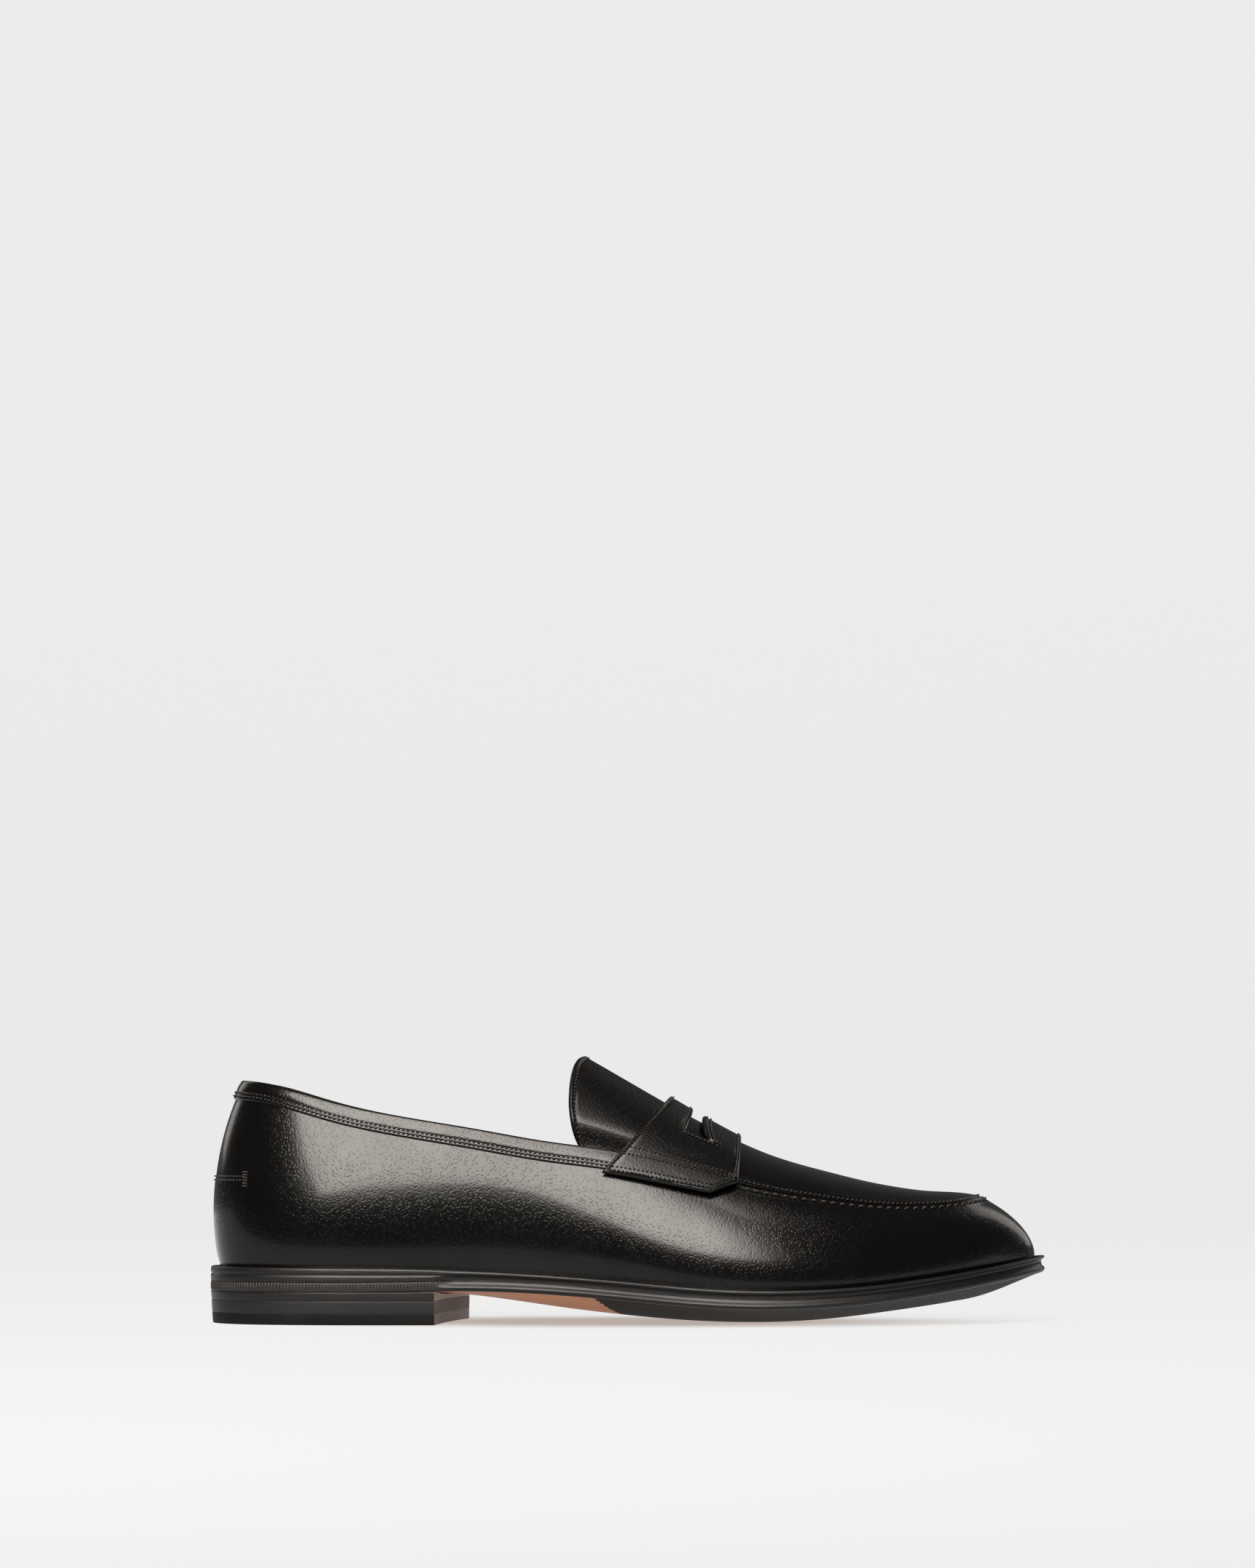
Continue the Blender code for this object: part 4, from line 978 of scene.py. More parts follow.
def make_saddle():
    """The saddle: a strap over the instep with its slot, and an end sewn to each side."""
    slot = strap_level(SLOT_END_Q)
    ends, middle, top = -from_edge(9.5, 0.6), 1 - from_edge(24.0, 1.0)[::-1], from_edge(22.0, 0.8)
    level = np.concatenate([-1 - ends, (slot * middle)[1:], mix(slot, 1.0, top)[1:]])
    start, end = slot_shares(mix(SADDLE_JOIN_Q, 2.0, np.maximum(level, 0.0)))
    behind, within, ahead = spaced(12.0, 0.8), np.linspace(0, 1, 9), spaced(13.0, 0.8)
    share = np.concatenate([
        start[:, None] * behind[None, :],
        mix(start[:, None], end[:, None], within[None, 1:]),
        mix(end[:, None], 1.0, ahead[None, 1:]),
    ], axis=1)
    u, q = saddle_place(share, np.broadcast_to(level[:, None], share.shape))
    u, q = mirrored(u, q)
    first = len(ends) + len(middle) - 2
    skip = np.zeros(u.shape, bool)
    skip[first:u.shape[0] - 1 - first, len(behind) - 1:len(behind) + len(within) - 2] = True

    def shape(distance, places_u, places_q):
        bead = 0.34 * bump_at(distance, 0.75, 0.45) - 0.26 * bump_at(distance, 1.55, 0.34)
        crease = -0.2 * bump_at(places_q, 1.012, 0.02)
        return bead + crease

    skin("saddle", u, q, lambda a, b: saddle_base(a, b) + STRAP / 2, STRAP, finish("soft_calf"), "shoe",
         shape, 0.8, skip, ("saddle_strap", "strap_tab_lateral", "strap_tab_medial"))
    rows = []
    run = np.linspace(-0.86, 1.0, 110)
    rows.append(saddle_row(inset_share(run, 1.35), run))
    run = np.linspace(0.03, 1.0, 90)
    rows.append(saddle_row(inset_share(run, -1.35), run))
    run = np.linspace(slot - 0.02, 1.0, 60)
    start, end = slot_shares(mix(SADDLE_JOIN_Q, 2.0, run))
    width = strap_width(mix(SADDLE_JOIN_Q, 2.0, run))[2]
    for share in (start - 1.5 / width, end + 1.5 / width, end + 3.0 / width):
        rows.append(saddle_row(share, run))
    start, end = (float(v) for v in slot_shares(np.array(SLOT_END_Q)))
    across = np.linspace(start - 0.03, end + 0.08, 30)
    along = np.linspace(0.03, 0.97, 70)
    heights = surface(*saddle_place(along, 0.0)) - surface(*saddle_place(along, -1.0))
    tall = np.linalg.norm(heights, axis=-1)
    flat = [(across, np.full(30, slot - 0.045)), (along, np.full(70, strap_level(1.045))),
            (along, np.full(70, -0.05))]
    flat += [(along, -1 + inset / tall) for inset in (1.7, 3.2)]
    for share, level in flat:
        u, q = saddle_place(share, level)
        rows += [(u, q), (2 * HALF - u, q)]
    sizes = bpy.context.scene.loafer_sizes
    paths = [row_on_upper(a, b, saddle_base(a, b) + STRAP - 0.06) for a, b in rows]
    stitches("saddle_stitches", paths, sizes.strap_pitch / MM, sizes.thread / MM, finish("thread"), "shoe",
             slant=0.3)
    u, q = saddle_place(np.linspace(0.9, 1.0, 8), np.full(8, 0.01))
    bars = [row_on_upper(side, q, saddle_base(side, q) + STRAP + 0.05) for side in (u, 2 * HALF - u)]
    stitches("saddle_bars", bars, 0.9, 0.4, finish("thread"), "shoe", length=1.4, slant=1.2)


def make_seams():
    """Stitch rows of the moccasin seam and the collar."""
    sizes = bpy.context.scene.loafer_sizes
    thread = sizes.thread / MM
    start = top_at(40.0)
    u = np.linspace(start, 2 * HALF - start, 400)
    fine = row_on_upper(u, np.full(400, APRON_EDGE_Q + 0.048), -0.06)
    stitches("apron_seam_fine", [fine], sizes.fine_pitch / MM, thread, finish("thread"), "shoe",
             slant=0.25, stands_for=("apron_thread_upper",))
    coarse = row_on_upper(u, below_top(u, 2.2), -0.08)
    stitches("apron_seam_coarse", [coarse], sizes.coarse_pitch / MM, thread * 1.25, finish("thread"), "shoe",
             stands_for=("apron_thread_lower",))
    end = top_at(-7.0)
    u = np.linspace(-end, end, 500)
    lift = BAND + 0.02
    upper = row_on_upper(u, below_top(u, 4.9), lift)
    lower = row_on_upper(u, below_top(u, 6.2), lift)
    stitches("collar_seam_upper", [upper], sizes.fine_pitch / MM, thread, finish("thread"), "shoe",
             slant=0.45, stands_for=("collar_thread_upper",))
    stitches("collar_seam_lower", [lower], sizes.fine_pitch / MM, thread, finish("thread"), "shoe",
             slant=0.45, stands_for=("collar_thread_lower",))


def back_place(x, z):
    """(u, q) of the outer side's point at x, z behind the heel, found by walking round from the back seam."""
    low, high = 0.2, 45.0
    for _ in range(26):
        u = (low + high) / 2
        q = float(find(lambda v: surface(u, v)[..., 2] - z, 0.05, 0.99))
        low, high = (u, high) if float(surface(u, q)[0]) < x else (low, u)
    return u, q


def make_back_seam():
    """The short seam across the back of the heel, closed at each end with a bar of stitches."""
    middle, end_x, bar_low, bar_high = 51.7, -137.0, 48.5, 54.4
    rows, bars = [], []
    for z in (middle - 0.65, middle + 0.65):
        end = back_place(end_x, z)
        u = np.linspace(-end[0], end[0], 60)
        q = find(lambda v: surface(u, v)[..., 2] - z, np.full(60, 0.05), np.full(60, 0.99))
        rows.append(row_on_upper(u, q, 0.1))
    for x in (end_x - 0.5, end_x, end_x + 0.5):
        places = [back_place(x, z) for z in np.linspace(bar_low, bar_high, 7)]
        u, q = np.array(places).T
        bars += [row_on_upper(side, q, 0.1) for side in (u, -u)]
    stitches("back_seam", rows, 1.5, 0.28, finish("thread"), "shoe")
    stitches("back_seam_bars", bars, 0.9, 0.3, finish("thread"), "shoe", length=1.3, slant=1.2)


def make_linings():
    """Linings of the forepart and the quarters, and the sock inside the shoe."""
    start = top_at(12.5)
    length = 2 * (HALF - start)
    u = start + np.linspace(0, 1, 150) * length
    q = np.concatenate([np.linspace(0.2, 1.0, 26), np.linspace(1.0, 2.0, 22)[1:]])
    deep = -CALF - GAP - STIFFENER - GAP
    skin("forepart_lining", u[None, :], q[:, None], deep - LINING / 2, LINING, finish("lining_leather"), "shoe",
         None, 0.5, None, ("vamp_lining",))
    end = top_at(4.0)
    u = np.linspace(-end, end, 220)
    share = np.linspace(0.0, 1.0, 34)
    top_q = below_top(u, 1.4)
    q = mix(0.18, top_q[None, :], share[:, None])
    skin("quarter_lining_leather", np.broadcast_to(u, q.shape), q, lambda a, b: lining_outer(b) - LINING / 2,
         LINING, finish("lining_leather"), "shoe", None, 0.5, None, ("quarter_lining",))
    u = round_rows(240)
    base = OUTSOLE + GAP + CALF + GAP + INSOLE + GAP
    start = (overhang(u) + 5.4) / sole_width(u)
    rows = []
    for share in np.linspace(0, 1, 14)[::-1]:
        rows.append(sole_point(u, mix(start, 1.0, share), base))
    rows.append(sole_point(u, start - 0.2 / sole_width(u), base + 0.35))
    rows.append(sole_point(u, start, base + 0.8))
    for share in np.linspace(0.02, 1, 14):
        rows.append(sole_point(u, mix(start, 1.0, share), base + 1.0))
    index, kept = welded(np.stack(rows, axis=1))
    faces = grid_faces(index, True, False)
    add_piece("sock", kept, faces, finish("lining_leather"), "shoe", ("sock_liner",))
    u = np.linspace(-end, end, 220)
    round_u = u % (2 * HALF)
    foot = on_upper(u, 0.2, lining_outer(0.2) - LINING + 0.15)
    edge = sole_point(round_u, (overhang(round_u) + 6.2) / sole_width(round_u), base + 1.3)
    top, under = [], []
    for share in np.linspace(0, 1, 7):
        cove = mix(foot, edge, share) - UP * (0.6 * math.sin(math.pi * share))
        top.append(cove)
        under.append(cove - UP * 0.5)
    loft("lining_turn", np.stack(top + under[::-1], axis=1), finish("lining_leather"), "shoe")


# ---------------------------------------------------------------- bottom


def heel_share(u):
    """1 round the heel, 0 in front of its breast."""
    return 1 - smooth((sole_point(u, 0.0, 0.0)[..., 0] + 70.0) / 8.0)


def edge_profile(u, steps):
    """Points of a sole edge from (fraction of free height, fixed height, inset in front, inset at the heel)."""
    width = sole_width(u)
    share = heel_share(u)
    top = edge_height(u)
    rows = []
    for free, fixed, front, rear in steps:
        height = mix(OUTSOLE + 0.1, top, free) + fixed if free is not None else np.full(u.shape, float(fixed))
        rows.append(sole_point(u, mix(front, rear, share) / width, height))
    return rows


def make_welt():
    """The welt: a round bead over a hollow in front, and two flat bands round the heel."""
    u = round_rows(ROUND_COUNT)
    width = sole_width(u)
    steps = (
        (0.0, 0.0, 1.2, 0.1), (0.0, 0.5, 1.25, 0.02), (0.25, 0.3, 1.15, 0.0), (0.45, 0.0, 0.8, 0.04),
        (0.48, 0.05, 0.62, 0.4), (0.52, 0.05, 0.42, 0.42), (0.56, 0.05, 0.25, 0.06), (0.64, 0.0, 0.08, 0.0),
        (0.72, 0.0, 0.0, 0.0), (0.82, 0.0, 0.06, 0.0), (0.9, 0.0, 0.22, 0.05), (0.96, 0.0, 0.48, 0.2),
        (1.0, 0.0, 0.9, 0.5),
    )
    rows = edge_profile(u, steps)
    for inset in (1.6, 2.3):
        rows.append(sole_point(u, inset / width, edge_height(u) + 0.06))
    inner = (overhang(u) - 0.15) / width
    rows.append(sole_point(u, inner, edge_height(u) - 0.02))
    rows.append(sole_point(u, inner, OUTSOLE + GAP))
    loft("welt_strip", np.stack(rows, axis=1), finish("edge_black"), "shoe", True, ("welt",), 70.0)


def half_sole_lift(u, share):
    """How far the leather underside stands back to take the half sole."""
    p = sole_point(u, share, 0.0)
    inset = share * sole_width(u)
    return 0.5 * smooth((p[..., 0] - half_sole_back(share) + 0.2) / 0.6) * smooth((inset - 1.7) / 0.3)


def make_outsole():
    """Leather outsole: black edge and forepart rim, natural waist with its burnished channel line."""
    u = round_rows(480)
    width = sole_width(u)
    rows = []
    for share in np.linspace(1.0, 0.06, 9):
        rows.append(sole_point(u, share, OUTSOLE))
    steps = (
        (None, 3.5, 1.4, 0.5), (None, 3.42, 1.22, 0.3), (None, 3.0, 1.15, 0.22), (None, 2.5, 0.95, 0.22),
        (None, 2.05, 0.55, 0.22), (None, 1.6, 0.14, 0.22), (None, 1.15, 0.0, 0.22), (None, 0.75, 0.08, 0.22),
        (None, 0.4, 0.3, 0.22), (None, 0.14, 0.62, 0.26), (None, 0.02, 0.95, 0.4),
    )
    rows += edge_profile(u, steps)
    insets = (1.3, 1.7, 2.0, 2.4, 3.2, 4.2, 4.9, 5.1, 5.45, 5.65, 6.4)
    for inset in insets:
        share = inset / width
        groove = 0.3 if inset in (5.1, 5.45) else 0.0
        waist = smooth((sole_point(u, share, 0.0)[..., 0] + 57.0) / 3.0)
        front = half_sole_lift(u, share)
        rows.append(sole_point(u, share, groove * waist * (front < 0.1) + front))
    last = insets[-1] / width
    for k in range(1, 15):
        share = mix(last, 1.0, k / 14)
        rows.append(sole_point(u, share, half_sole_lift(u, share)))
    index, kept = welded(np.stack(rows, axis=1))
    faces = grid_faces(index, True, False)
    column = {}
    for i in range(index.shape[0]):
        for j in range(index.shape[1]):
            column.setdefault(index[i, j], j)
    first = 9 + len(steps) + 1
    line = 9 + len(steps) + insets.index(5.1)
    chosen = []
    for face in faces:
        columns = [column[v] for v in face]
        centre = kept[list(face)].mean(axis=0)
        under = min(columns) >= first
        share = 1 - abs(centre[1]) / 34.0
        waist = centre[0] < half_sole_back(min(1.0, max(0.0, share))) + 0.6
        burnished = min(columns) == line and centre[0] > -56.0
        chosen.append((2 if burnished else 1) if under and waist else 0)
    mats = [finish("edge_black"), finish("sole_leather"), finish("channel_burnish")]
    add_piece("leather_sole", kept, faces, mats, "shoe", ("outsole",), 60.0, chosen)
    sizes = bpy.context.scene.loafer_sizes
    end = float(find(lambda v: sole_point(v, 0.0, 0.0)[..., 0] + 67.4, 30.0, HALF * 0.6))
    around = np.linspace(-end, end, 700)
    edge = sole_point(around, 0.28 / sole_width(around), 1.85)
    wheel_marks("wheel_marks", edge, outward(around), sizes.rib_pitch / MM)


def wheel_marks(name, path, out, pitch):
    """Upright ribs that a hot wheel presses into the edge round the heel."""
    middle, ahead, facing = resample((path, out), pitch)
    points, faces = [], []
    profile = ((-0.4, 0.0), (-0.26, 0.3), (0.0, 0.42), (0.26, 0.3), (0.4, 0.0))
    levels = ((-1.6, 0.2), (-1.45, 0.85), (0.0, 1.0), (1.45, 0.85), (1.6, 0.2))
    for m, a, f in zip(middle, ahead, facing):
        start = len(points)
        for height, swell in levels:
            for along, depth in profile:
                points.append(m + UP * height + a * (along * pitch) + f * (depth * swell - 0.12))
        wide = len(profile)
        for k in range(len(levels) - 1):
            for j in range(wide):
                n = (j + 1) % wide
                row = start + k * wide
                faces.append([row + j, row + n, row + n + wide, row + j + wide])
        faces.append([start + j for j in range(wide)][::-1])
        faces.append([start + (len(levels) - 1) * wide + j for j in range(wide)])
    add_piece(name, points, faces, finish("wheel_ink"), "shoe")


def make_half_sole():
    """The rubber half sole let into the forepart, with a groove near its edge that stands for its line of stitches."""
    count = 120
    rings = []
    edge_u, centre_u = foot_at(HALF_SOLE_EDGE_X), foot_at(HALF_SOLE_CENTRE_X)
    insets = (2.0, 2.05, 2.2, 2.5, 3.0, 3.4, 3.7, 4.0, 4.3, 4.7, 5.5)
    for k in np.linspace(0.0, 1.0, count):
        lower, upper = [], []
        for inset in insets:
            start = mix(edge_u, HALF, k)
            share = inset / float(sole_width(start))
            u = mix(mix(edge_u, centre_u, share), HALF, k)
            sink = 0.28 * float(bump_at(inset, 3.7, 0.25)) + 0.4 * max(0.0, 1 - (inset - 2.0) / 0.3) ** 2
            lower.append((u, share, sink))
            upper.append((u, share, 0.62))
        first = lower[-1][1]
        for step in np.linspace(0, 1, 14)[1:]:
            share = mix(first, 1.0, step)
            u = mix(mix(edge_u, centre_u, share), HALF, k)
            lower.append((u, share, 0.0))
            upper.append((u, share, 0.62))
        rings.append((lower, upper))
    lofted = []
    for lower, upper in rings:
        low, high = np.array(lower), np.array(upper)
        outer_low = sole_point(low[:, 0], low[:, 1], low[:, 2])
        inner_low = sole_point(2 * HALF - low[:, 0], low[:, 1], low[:, 2])
        outer_high = sole_point(high[:, 0], high[:, 1], high[:, 2])
        inner_high = sole_point(2 * HALF - high[:, 0], high[:, 1], high[:, 2])
        ring = [outer_low, inner_low[-2::-1], inner_high, outer_high[-2::-1]]
        lofted.append(np.concatenate(ring))
    loft("half_sole", np.stack(lofted), finish("rubber"), "shoe", False, ("forepart_half_sole",))


def heel_outline(inset):
    """Points round the heel, then back across its breast; and how many of them lie on the breast."""
    def edge(u):
        u = np.asarray(u, float)
        return sole_point(u, 0.0, 0.0) - outward(u) * inset

    ends = {}
    for side in (-1, 1):
        def ahead(u):
            p = edge(side * u)
            return p[..., 0] - breast_x(p[..., 1])

        ends[side] = float(find(ahead, 30.0, HALF * 0.6))
    back = edge(np.linspace(-ends[-1], ends[1], 180))
    share = np.linspace(0.0, 1.0, 42)[1:-1]
    front = mix(back[-1][None, :], back[0][None, :], share[:, None])
    front[:, 0] = breast_x(front[:, 1])
    return np.concatenate([back, front]), len(share)


def make_lift(name, low, high, inset_low, inset_high, side_finish, breast_finish, node, seat=False):
    """One layer of the heel, its edges just broken with glass paper."""
    levels = [(0.0, 0.35), (0.12, 0.1), (0.3, 0.0), (0.6, 0.0), (0.88, 0.02), (0.95, 0.12), (1.0, 0.3)]
    rings, breast = [], 0
    for share, extra in levels:
        outline, breast = heel_outline(mix(inset_low, inset_high, share) + extra * 0.3)
        outline[:, 2] = mix(low, high, share)
        rings.append(outline)
    if seat:
        for ring, (share, _) in zip(rings, levels):
            x, y = ring[:, 0], ring[:, 1]
            seat_z = seat_height(x, y) - 0.06
            ring[:, 2] = mix(low, seat_z, share)
    count = len(rings[0])
    points = np.concatenate(rings)
    faces, chosen = [], []
    for k in range(len(rings) - 1):
        for j in range(count):
            n = (j + 1) % count
            faces.append([k * count + j, k * count + n, (k + 1) * count + n, (k + 1) * count + j])
            chosen.append(1 if j >= count - breast - 1 else 0)
    centre_low, centre_high = points[:count].mean(axis=0), points[-count:].mean(axis=0)
    if seat:
        centre_high[2] = float(seat_height(centre_high[0], centre_high[1])) - 0.1
    points = np.concatenate([points, [centre_low, centre_high]])
    for j in range(count):
        n = (j + 1) % count
        faces.append([n, j, len(points) - 2])
        faces.append([(len(rings) - 1) * count + j, (len(rings) - 1) * count + n, len(points) - 1])
        chosen += [0, 0]
    add_piece(name, points, faces, [finish(side_finish), finish(breast_finish)], "shoe", (node,), 50.0,
              chosen)


def seat_height(x, y):
    """Height of the sole's underside over a point of the heel seat."""
    forward = smooth((np.asarray(x) + 86.0) / 28.0)
    edge = mix(11.5, 12.0, forward)
    centre = mix(11.5, 9.9, forward)
    share = np.clip(1 - np.abs(np.asarray(y)) / 33.0, 0.0, 1.0)
    return mix(edge, centre, crown(share))


def make_heel():
    """Two leather lifts and the rubber top piece."""
    make_lift("top_piece", 0.0, 3.88, 0.9, 0.6, "top_piece_rubber", "breast_grey", "heel_top_piece")
    make_lift("lower_lift", 3.92, 8.35, 0.6, 0.32, "heel_stack", "breast_brown", "heel_lift_lower")
    make_lift("upper_lift", 8.42, 11.4, 0.36, 0.12, "edge_black", "breast_pale", "heel_lift_upper",
              seat=True)


def finish_inner_pieces():
    """Gives the pieces inside the shoe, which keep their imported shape, their finishes."""
    slots = {
        "heel_counter": "stiffener_board",
        "toe_puff": "stiffener_board",
        "insole_board": "stiffener_board",
        "cork_filler": "cork",
        "shank": "steel",
    }
    slots.update({name: "steel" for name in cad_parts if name.startswith("heel_nail_")})
    for node, name in slots.items():
        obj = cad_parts[node]
        for slot in obj.material_slots:
            slot.material = finish(name)


# ---------------------------------------------------------------- stage


def add_stage(name, points, faces, material):
    """Something that stands round the shoe and isn't part of it."""
    mesh = bpy.data.meshes.new(name)
    mesh.from_pydata(points, [], faces)
    mesh.materials.append(material)
    mesh.shade_smooth()
    obj = bpy.data.objects.new(name, mesh)
    bpy.context.scene.collection.objects.link(obj)
    return obj


def add_paper(name, profile, half_width=16.0):
    """Paper of the cove, from a profile of (y, z) points."""
    points = [(side * half_width, y, z) for y, z in profile for side in (-1, 1)]
    faces = [[2 * k, 2 * k + 1, 2 * k + 3, 2 * k + 2] for k in range(len(profile) - 1)]
    return add_stage(name, points, faces, finish("paper"))


def make_floor():
    """A pale cove of paper: floor, curve and wall. Only the floor round the shoe shows in the leather."""
    back, wall, radius, apron = 2.2, 1.5, 0.9, -0.125
    add_paper("paper_floor", [(apron, 0.0), (back, 0.0)])
    add_paper("paper_front", [(-16.0, 0.0), (apron, 0.0)]).visible_glossy = False
    curve = [(back, 0.0)]
    for k in range(1, 17):
        angle = math.pi / 2 * k / 16
        curve.append((back + radius * math.sin(angle), radius * (1 - math.cos(angle))))
    curve.append((back + radius, wall))
    add_paper("paper_wall", curve).visible_glossy = False


def area_light(name, place, target, size, power, colour):
    light = bpy.data.lights.new(name, "AREA")
    light.shape = "RECTANGLE"
    light.size, light.size_y = size
    light.energy = power
    light.color = colour
    obj = bpy.data.objects.new(name, light)
    obj.location = place
    obj.rotation_euler = (Vector(target) - Vector(place)).to_track_quat("-Z", "Y").to_euler()
    obj.visible_camera = False
    bpy.context.scene.collection.objects.link(obj)


def make_lights():
    """A tall softbox beside the shoe that fades towards the toe, one above and two faint ones behind."""
    studio = bpy.context.scene.loafer_studio
    outline = ((-0.395, 0.225), (0.215, 0.4), (0.28, 1.85), (-0.8, 1.6))
    corners = [(x, SOFTBOX_Y, z) for x, z in outline]
    black = (0.0, 0.0, 0.0, 1.0)
    box = Finish("softbox", {"Emission Strength": studio.key, "Base Color": black})
    across = box.add("ShaderNodeSeparateXYZ", (), {"Vector": box.place}, "X")
    box.feed("Emission Color", box.blend(across.ramp(-0.1, 0.17), WARM_LIGHT, (0.06, 0.055, 0.05)))
    add_stage("side_softbox", corners, [[0, 1, 2, 3]], box.material).visible_camera = False
    area_light("top_softbox", (0.0, -0.66, 1.7), (0.0, -0.66, 0.0), (0.62, 0.68), studio.top, WARM_LIGHT)
    for name, side in (("rear_softbox_heel", -1.1), ("rear_softbox_toe", 1.1)):
        area_light(name, (side, 1.0, 0.8), (0.0, 0.0, 0.1), (0.6, 1.2), studio.rear, (1.0, 0.95, 0.9))
    world = bpy.data.worlds.new("studio")
    world.use_nodes = True
    around = world.node_tree.nodes["Background"]
    around.inputs["Color"].default_value = (1.0, 0.98, 0.96, 1.0)
    around.inputs["Strength"].default_value = studio.ambient
    bpy.context.scene.world = world


def make_camera():
    """A long lens almost level with the shoe, seen from its outer side."""
    lens = bpy.data.cameras.new("camera")
    lens.sensor_width = 36.0
    lens.lens = LENS
    lens.clip_start = 0.05
    obj = bpy.data.objects.new("camera", lens)
    obj.location = CAMERA_PLACE
    obj.rotation_euler = (math.radians(90 + CAMERA_TILT), 0.0, 0.0)
    bpy.context.scene.collection.objects.link(obj)
    bpy.context.scene.camera = obj
    bpy.context.scene.view_settings.view_transform = "Standard"


# ---------------------------------------------------------------- settings


def length(name, description, default, low, high):
    return FloatProperty(
        name=name, description=description, default=default, min=low, max=high, unit="LENGTH", precision=5
    )


def colour(name, description, default):
    return FloatVectorProperty(
        name=name, description=description, default=default, min=0, max=1, size=3, subtype="COLOR"
    )


def power(name, description, default):
    return FloatProperty(name=name, description=description, default=default, min=0, unit="POWER")


def strength(name, description, default):
    return FloatProperty(name=name, description=description, default=default, min=0)


class LoaferSizes(bpy.types.PropertyGroup):
    thread: length("Thread radius", "Radius of the stitching thread", 0.00032, 0.0001, 0.0008)
    fine_pitch: length("Fine stitch", "Length of one stitch of the edge and collar rows", 0.0017, 0.001, 0.004)
    strap_pitch: length("Saddle stitch", "Length of one stitch of the saddle's rows", 0.0015, 0.001, 0.004)
    coarse_pitch: length(
        "Seam stitch", "Length of one stitch of the moccasin seam's outer row", 0.0034, 0.0015, 0.006
    )
    rib_pitch: length("Wheel mark", "Distance between the wheel marks round the heel", 0.0012, 0.0006, 0.003)


class LoaferColours(bpy.types.PropertyGroup):
    calf: colour("Calf", "Dye of the upper", (0.0013, 0.0011, 0.001))
    lining: colour("Lining", "Lining and sock leather", (0.5, 0.34, 0.21))
    sole: colour("Sole", "Natural leather of the waist", (0.56, 0.215, 0.09))
    edge: colour("Edge ink", "Ink of the sole's edge", (0.0035, 0.0032, 0.0032))
    heel: colour("Heel ink", "Ink of the heel's lifts", (0.0045, 0.0044, 0.0044))
    rubber: colour("Rubber", "Half sole and top piece", (0.006, 0.006, 0.006))
    thread: colour("Thread", "Waxed thread", (0.012, 0.011, 0.0105))


class LoaferStudio(bpy.types.PropertyGroup):
    key: strength("Softbox", "Brightness of the tall softbox", 17.0)
    top: power("Top softbox", "Power of the softbox above", 9.0)
    rear: power("Rear softboxes", "Power of each of the two faint softboxes", 3.4)
    glow: strength("Paper glow", "Even light of the floor and backdrop", 0.8)
    ambient: strength("Ambient", "Strength of the light all round", 0.1)


# ---------------------------------------------------------------- operators


class LOAFER_OT_wall(bpy.types.Operator):
    """Cut and close the wall of the upper, with its back seam"""

    bl_idname = "loafer.wall"
    bl_label = "Wall"

    def execute(self, context):
        make_wall()
        make_back_seam()
        return {"FINISHED"}


class LOAFER_OT_apron(bpy.types.Operator):
    """Lay the apron over the toes"""

    bl_idname = "loafer.apron"
    bl_label = "Apron"

    def execute(self, context):
        make_apron()
        return {"FINISHED"}


class LOAFER_OT_collar(bpy.types.Operator):
    """Fold the collar band over the foot opening"""

    bl_idname = "loafer.collar"
    bl_label = "Collar"

    def execute(self, context):
        make_collar()
        return {"FINISHED"}


class LOAFER_OT_tongue(bpy.types.Operator):
    """Make the tongue with its lining and stitches"""

    bl_idname = "loafer.tongue"
    bl_label = "Tongue"

    def execute(self, context):
        make_tongue()
        return {"FINISHED"}


class LOAFER_OT_saddle(bpy.types.Operator):
    """Make the saddle with its slot, its ends and its stitches"""

    bl_idname = "loafer.saddle"
    bl_label = "Saddle"

    def execute(self, context):
        make_saddle()
        return {"FINISHED"}


class LOAFER_OT_seams(bpy.types.Operator):
    """Sew the moccasin seam and the collar"""

    bl_idname = "loafer.seams"
    bl_label = "Seams"

    def execute(self, context):
        make_seams()
        return {"FINISHED"}


class LOAFER_OT_linings(bpy.types.Operator):
    """Line the shoe and lay in the sock"""

    bl_idname = "loafer.linings"
    bl_label = "Linings"

    def execute(self, context):
        make_linings()
        return {"FINISHED"}


class LOAFER_OT_bottom(bpy.types.Operator):
    """Make the welt, the leather sole and the rubber half sole"""

    bl_idname = "loafer.bottom"
    bl_label = "Bottom"

    def execute(self, context):
        make_welt()
        make_outsole()
        make_half_sole()
        return {"FINISHED"}


class LOAFER_OT_heel(bpy.types.Operator):
    """Stack the heel"""

    bl_idname = "loafer.heel"
    bl_label = "Heel"

    def execute(self, context):
        make_heel()
        return {"FINISHED"}


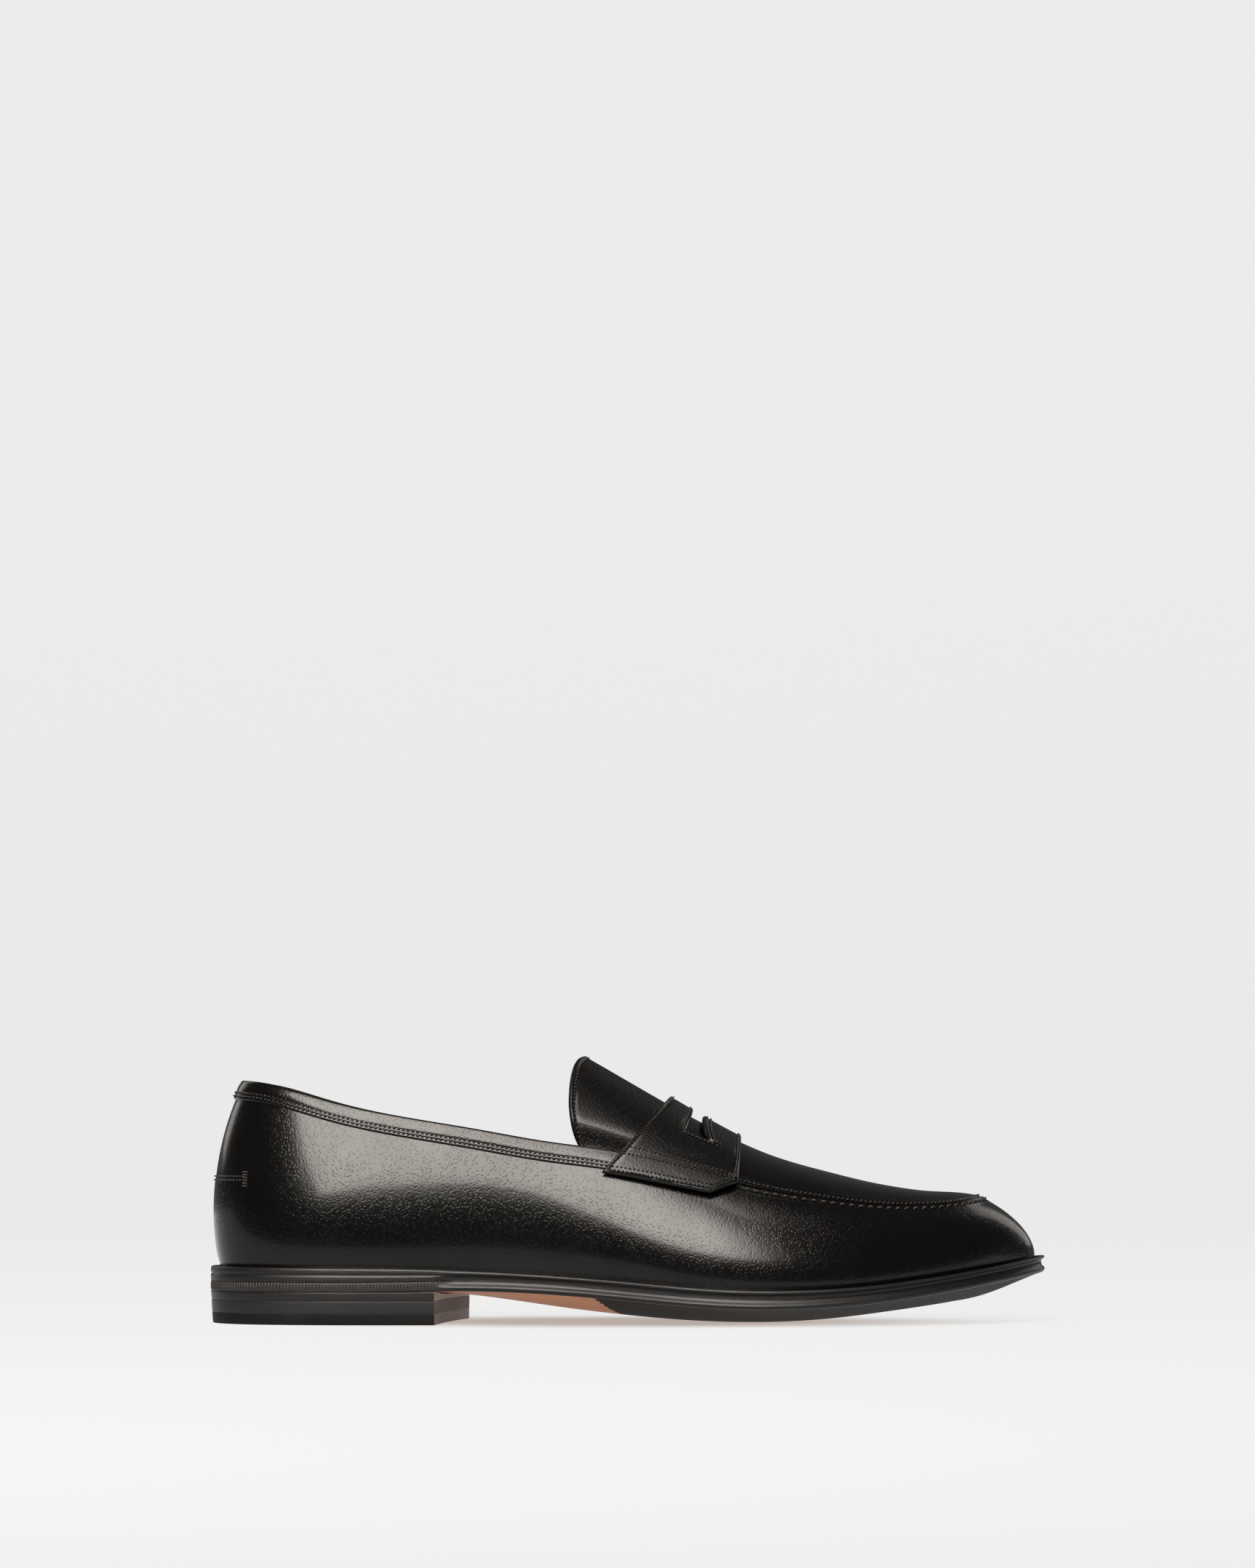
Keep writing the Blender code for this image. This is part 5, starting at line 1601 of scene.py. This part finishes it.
class LOAFER_OT_inner(bpy.types.Operator):
    """Finish the stiffeners, board, cork, shank and nails"""

    bl_idname = "loafer.inner"
    bl_label = "Inner pieces"

    def execute(self, context):
        finish_inner_pieces()
        return {"FINISHED"}


class LOAFER_OT_stage(bpy.types.Operator):
    """Set up the paper sweep, the lights and the camera"""

    bl_idname = "loafer.stage"
    bl_label = "Stage"

    def execute(self, context):
        make_camera()
        make_floor()
        make_lights()
        return {"FINISHED"}


OPERATORS = (
    LOAFER_OT_stage,
    LOAFER_OT_wall,
    LOAFER_OT_apron,
    LOAFER_OT_collar,
    LOAFER_OT_tongue,
    LOAFER_OT_saddle,
    LOAFER_OT_seams,
    LOAFER_OT_linings,
    LOAFER_OT_bottom,
    LOAFER_OT_heel,
    LOAFER_OT_inner,
)


class LOAFER_PT_panel(bpy.types.Panel):
    """Lists the pieces of the shoe and the settings that shape them"""

    bl_idname = "LOAFER_PT_panel"
    bl_label = "Penny Loafer"
    bl_space_type = "VIEW_3D"
    bl_region_type = "UI"
    bl_category = "Loafer"

    def draw(self, context):
        layout = self.layout
        for group in (context.scene.loafer_sizes, context.scene.loafer_colours, context.scene.loafer_studio):
            column = layout.column(align=True)
            for key in group.__annotations__:
                column.prop(group, key)
        for operator in OPERATORS:
            layout.operator(operator.bl_idname)


CLASSES = (LoaferSizes, LoaferColours, LoaferStudio, *OPERATORS, LOAFER_PT_panel)


def register():
    for cls in CLASSES:
        bpy.utils.register_class(cls)
    bpy.types.Scene.loafer_sizes = PointerProperty(type=LoaferSizes)
    bpy.types.Scene.loafer_colours = PointerProperty(type=LoaferColours)
    bpy.types.Scene.loafer_studio = PointerProperty(type=LoaferStudio)


def unregister():
    del bpy.types.Scene.loafer_studio
    del bpy.types.Scene.loafer_colours
    del bpy.types.Scene.loafer_sizes
    for cls in reversed(CLASSES):
        bpy.utils.unregister_class(cls)


def main():
    register()
    for operator in OPERATORS:
        getattr(bpy.ops.loafer, operator.bl_idname.split(".")[1])()


if __name__ == "__main__":
    main()
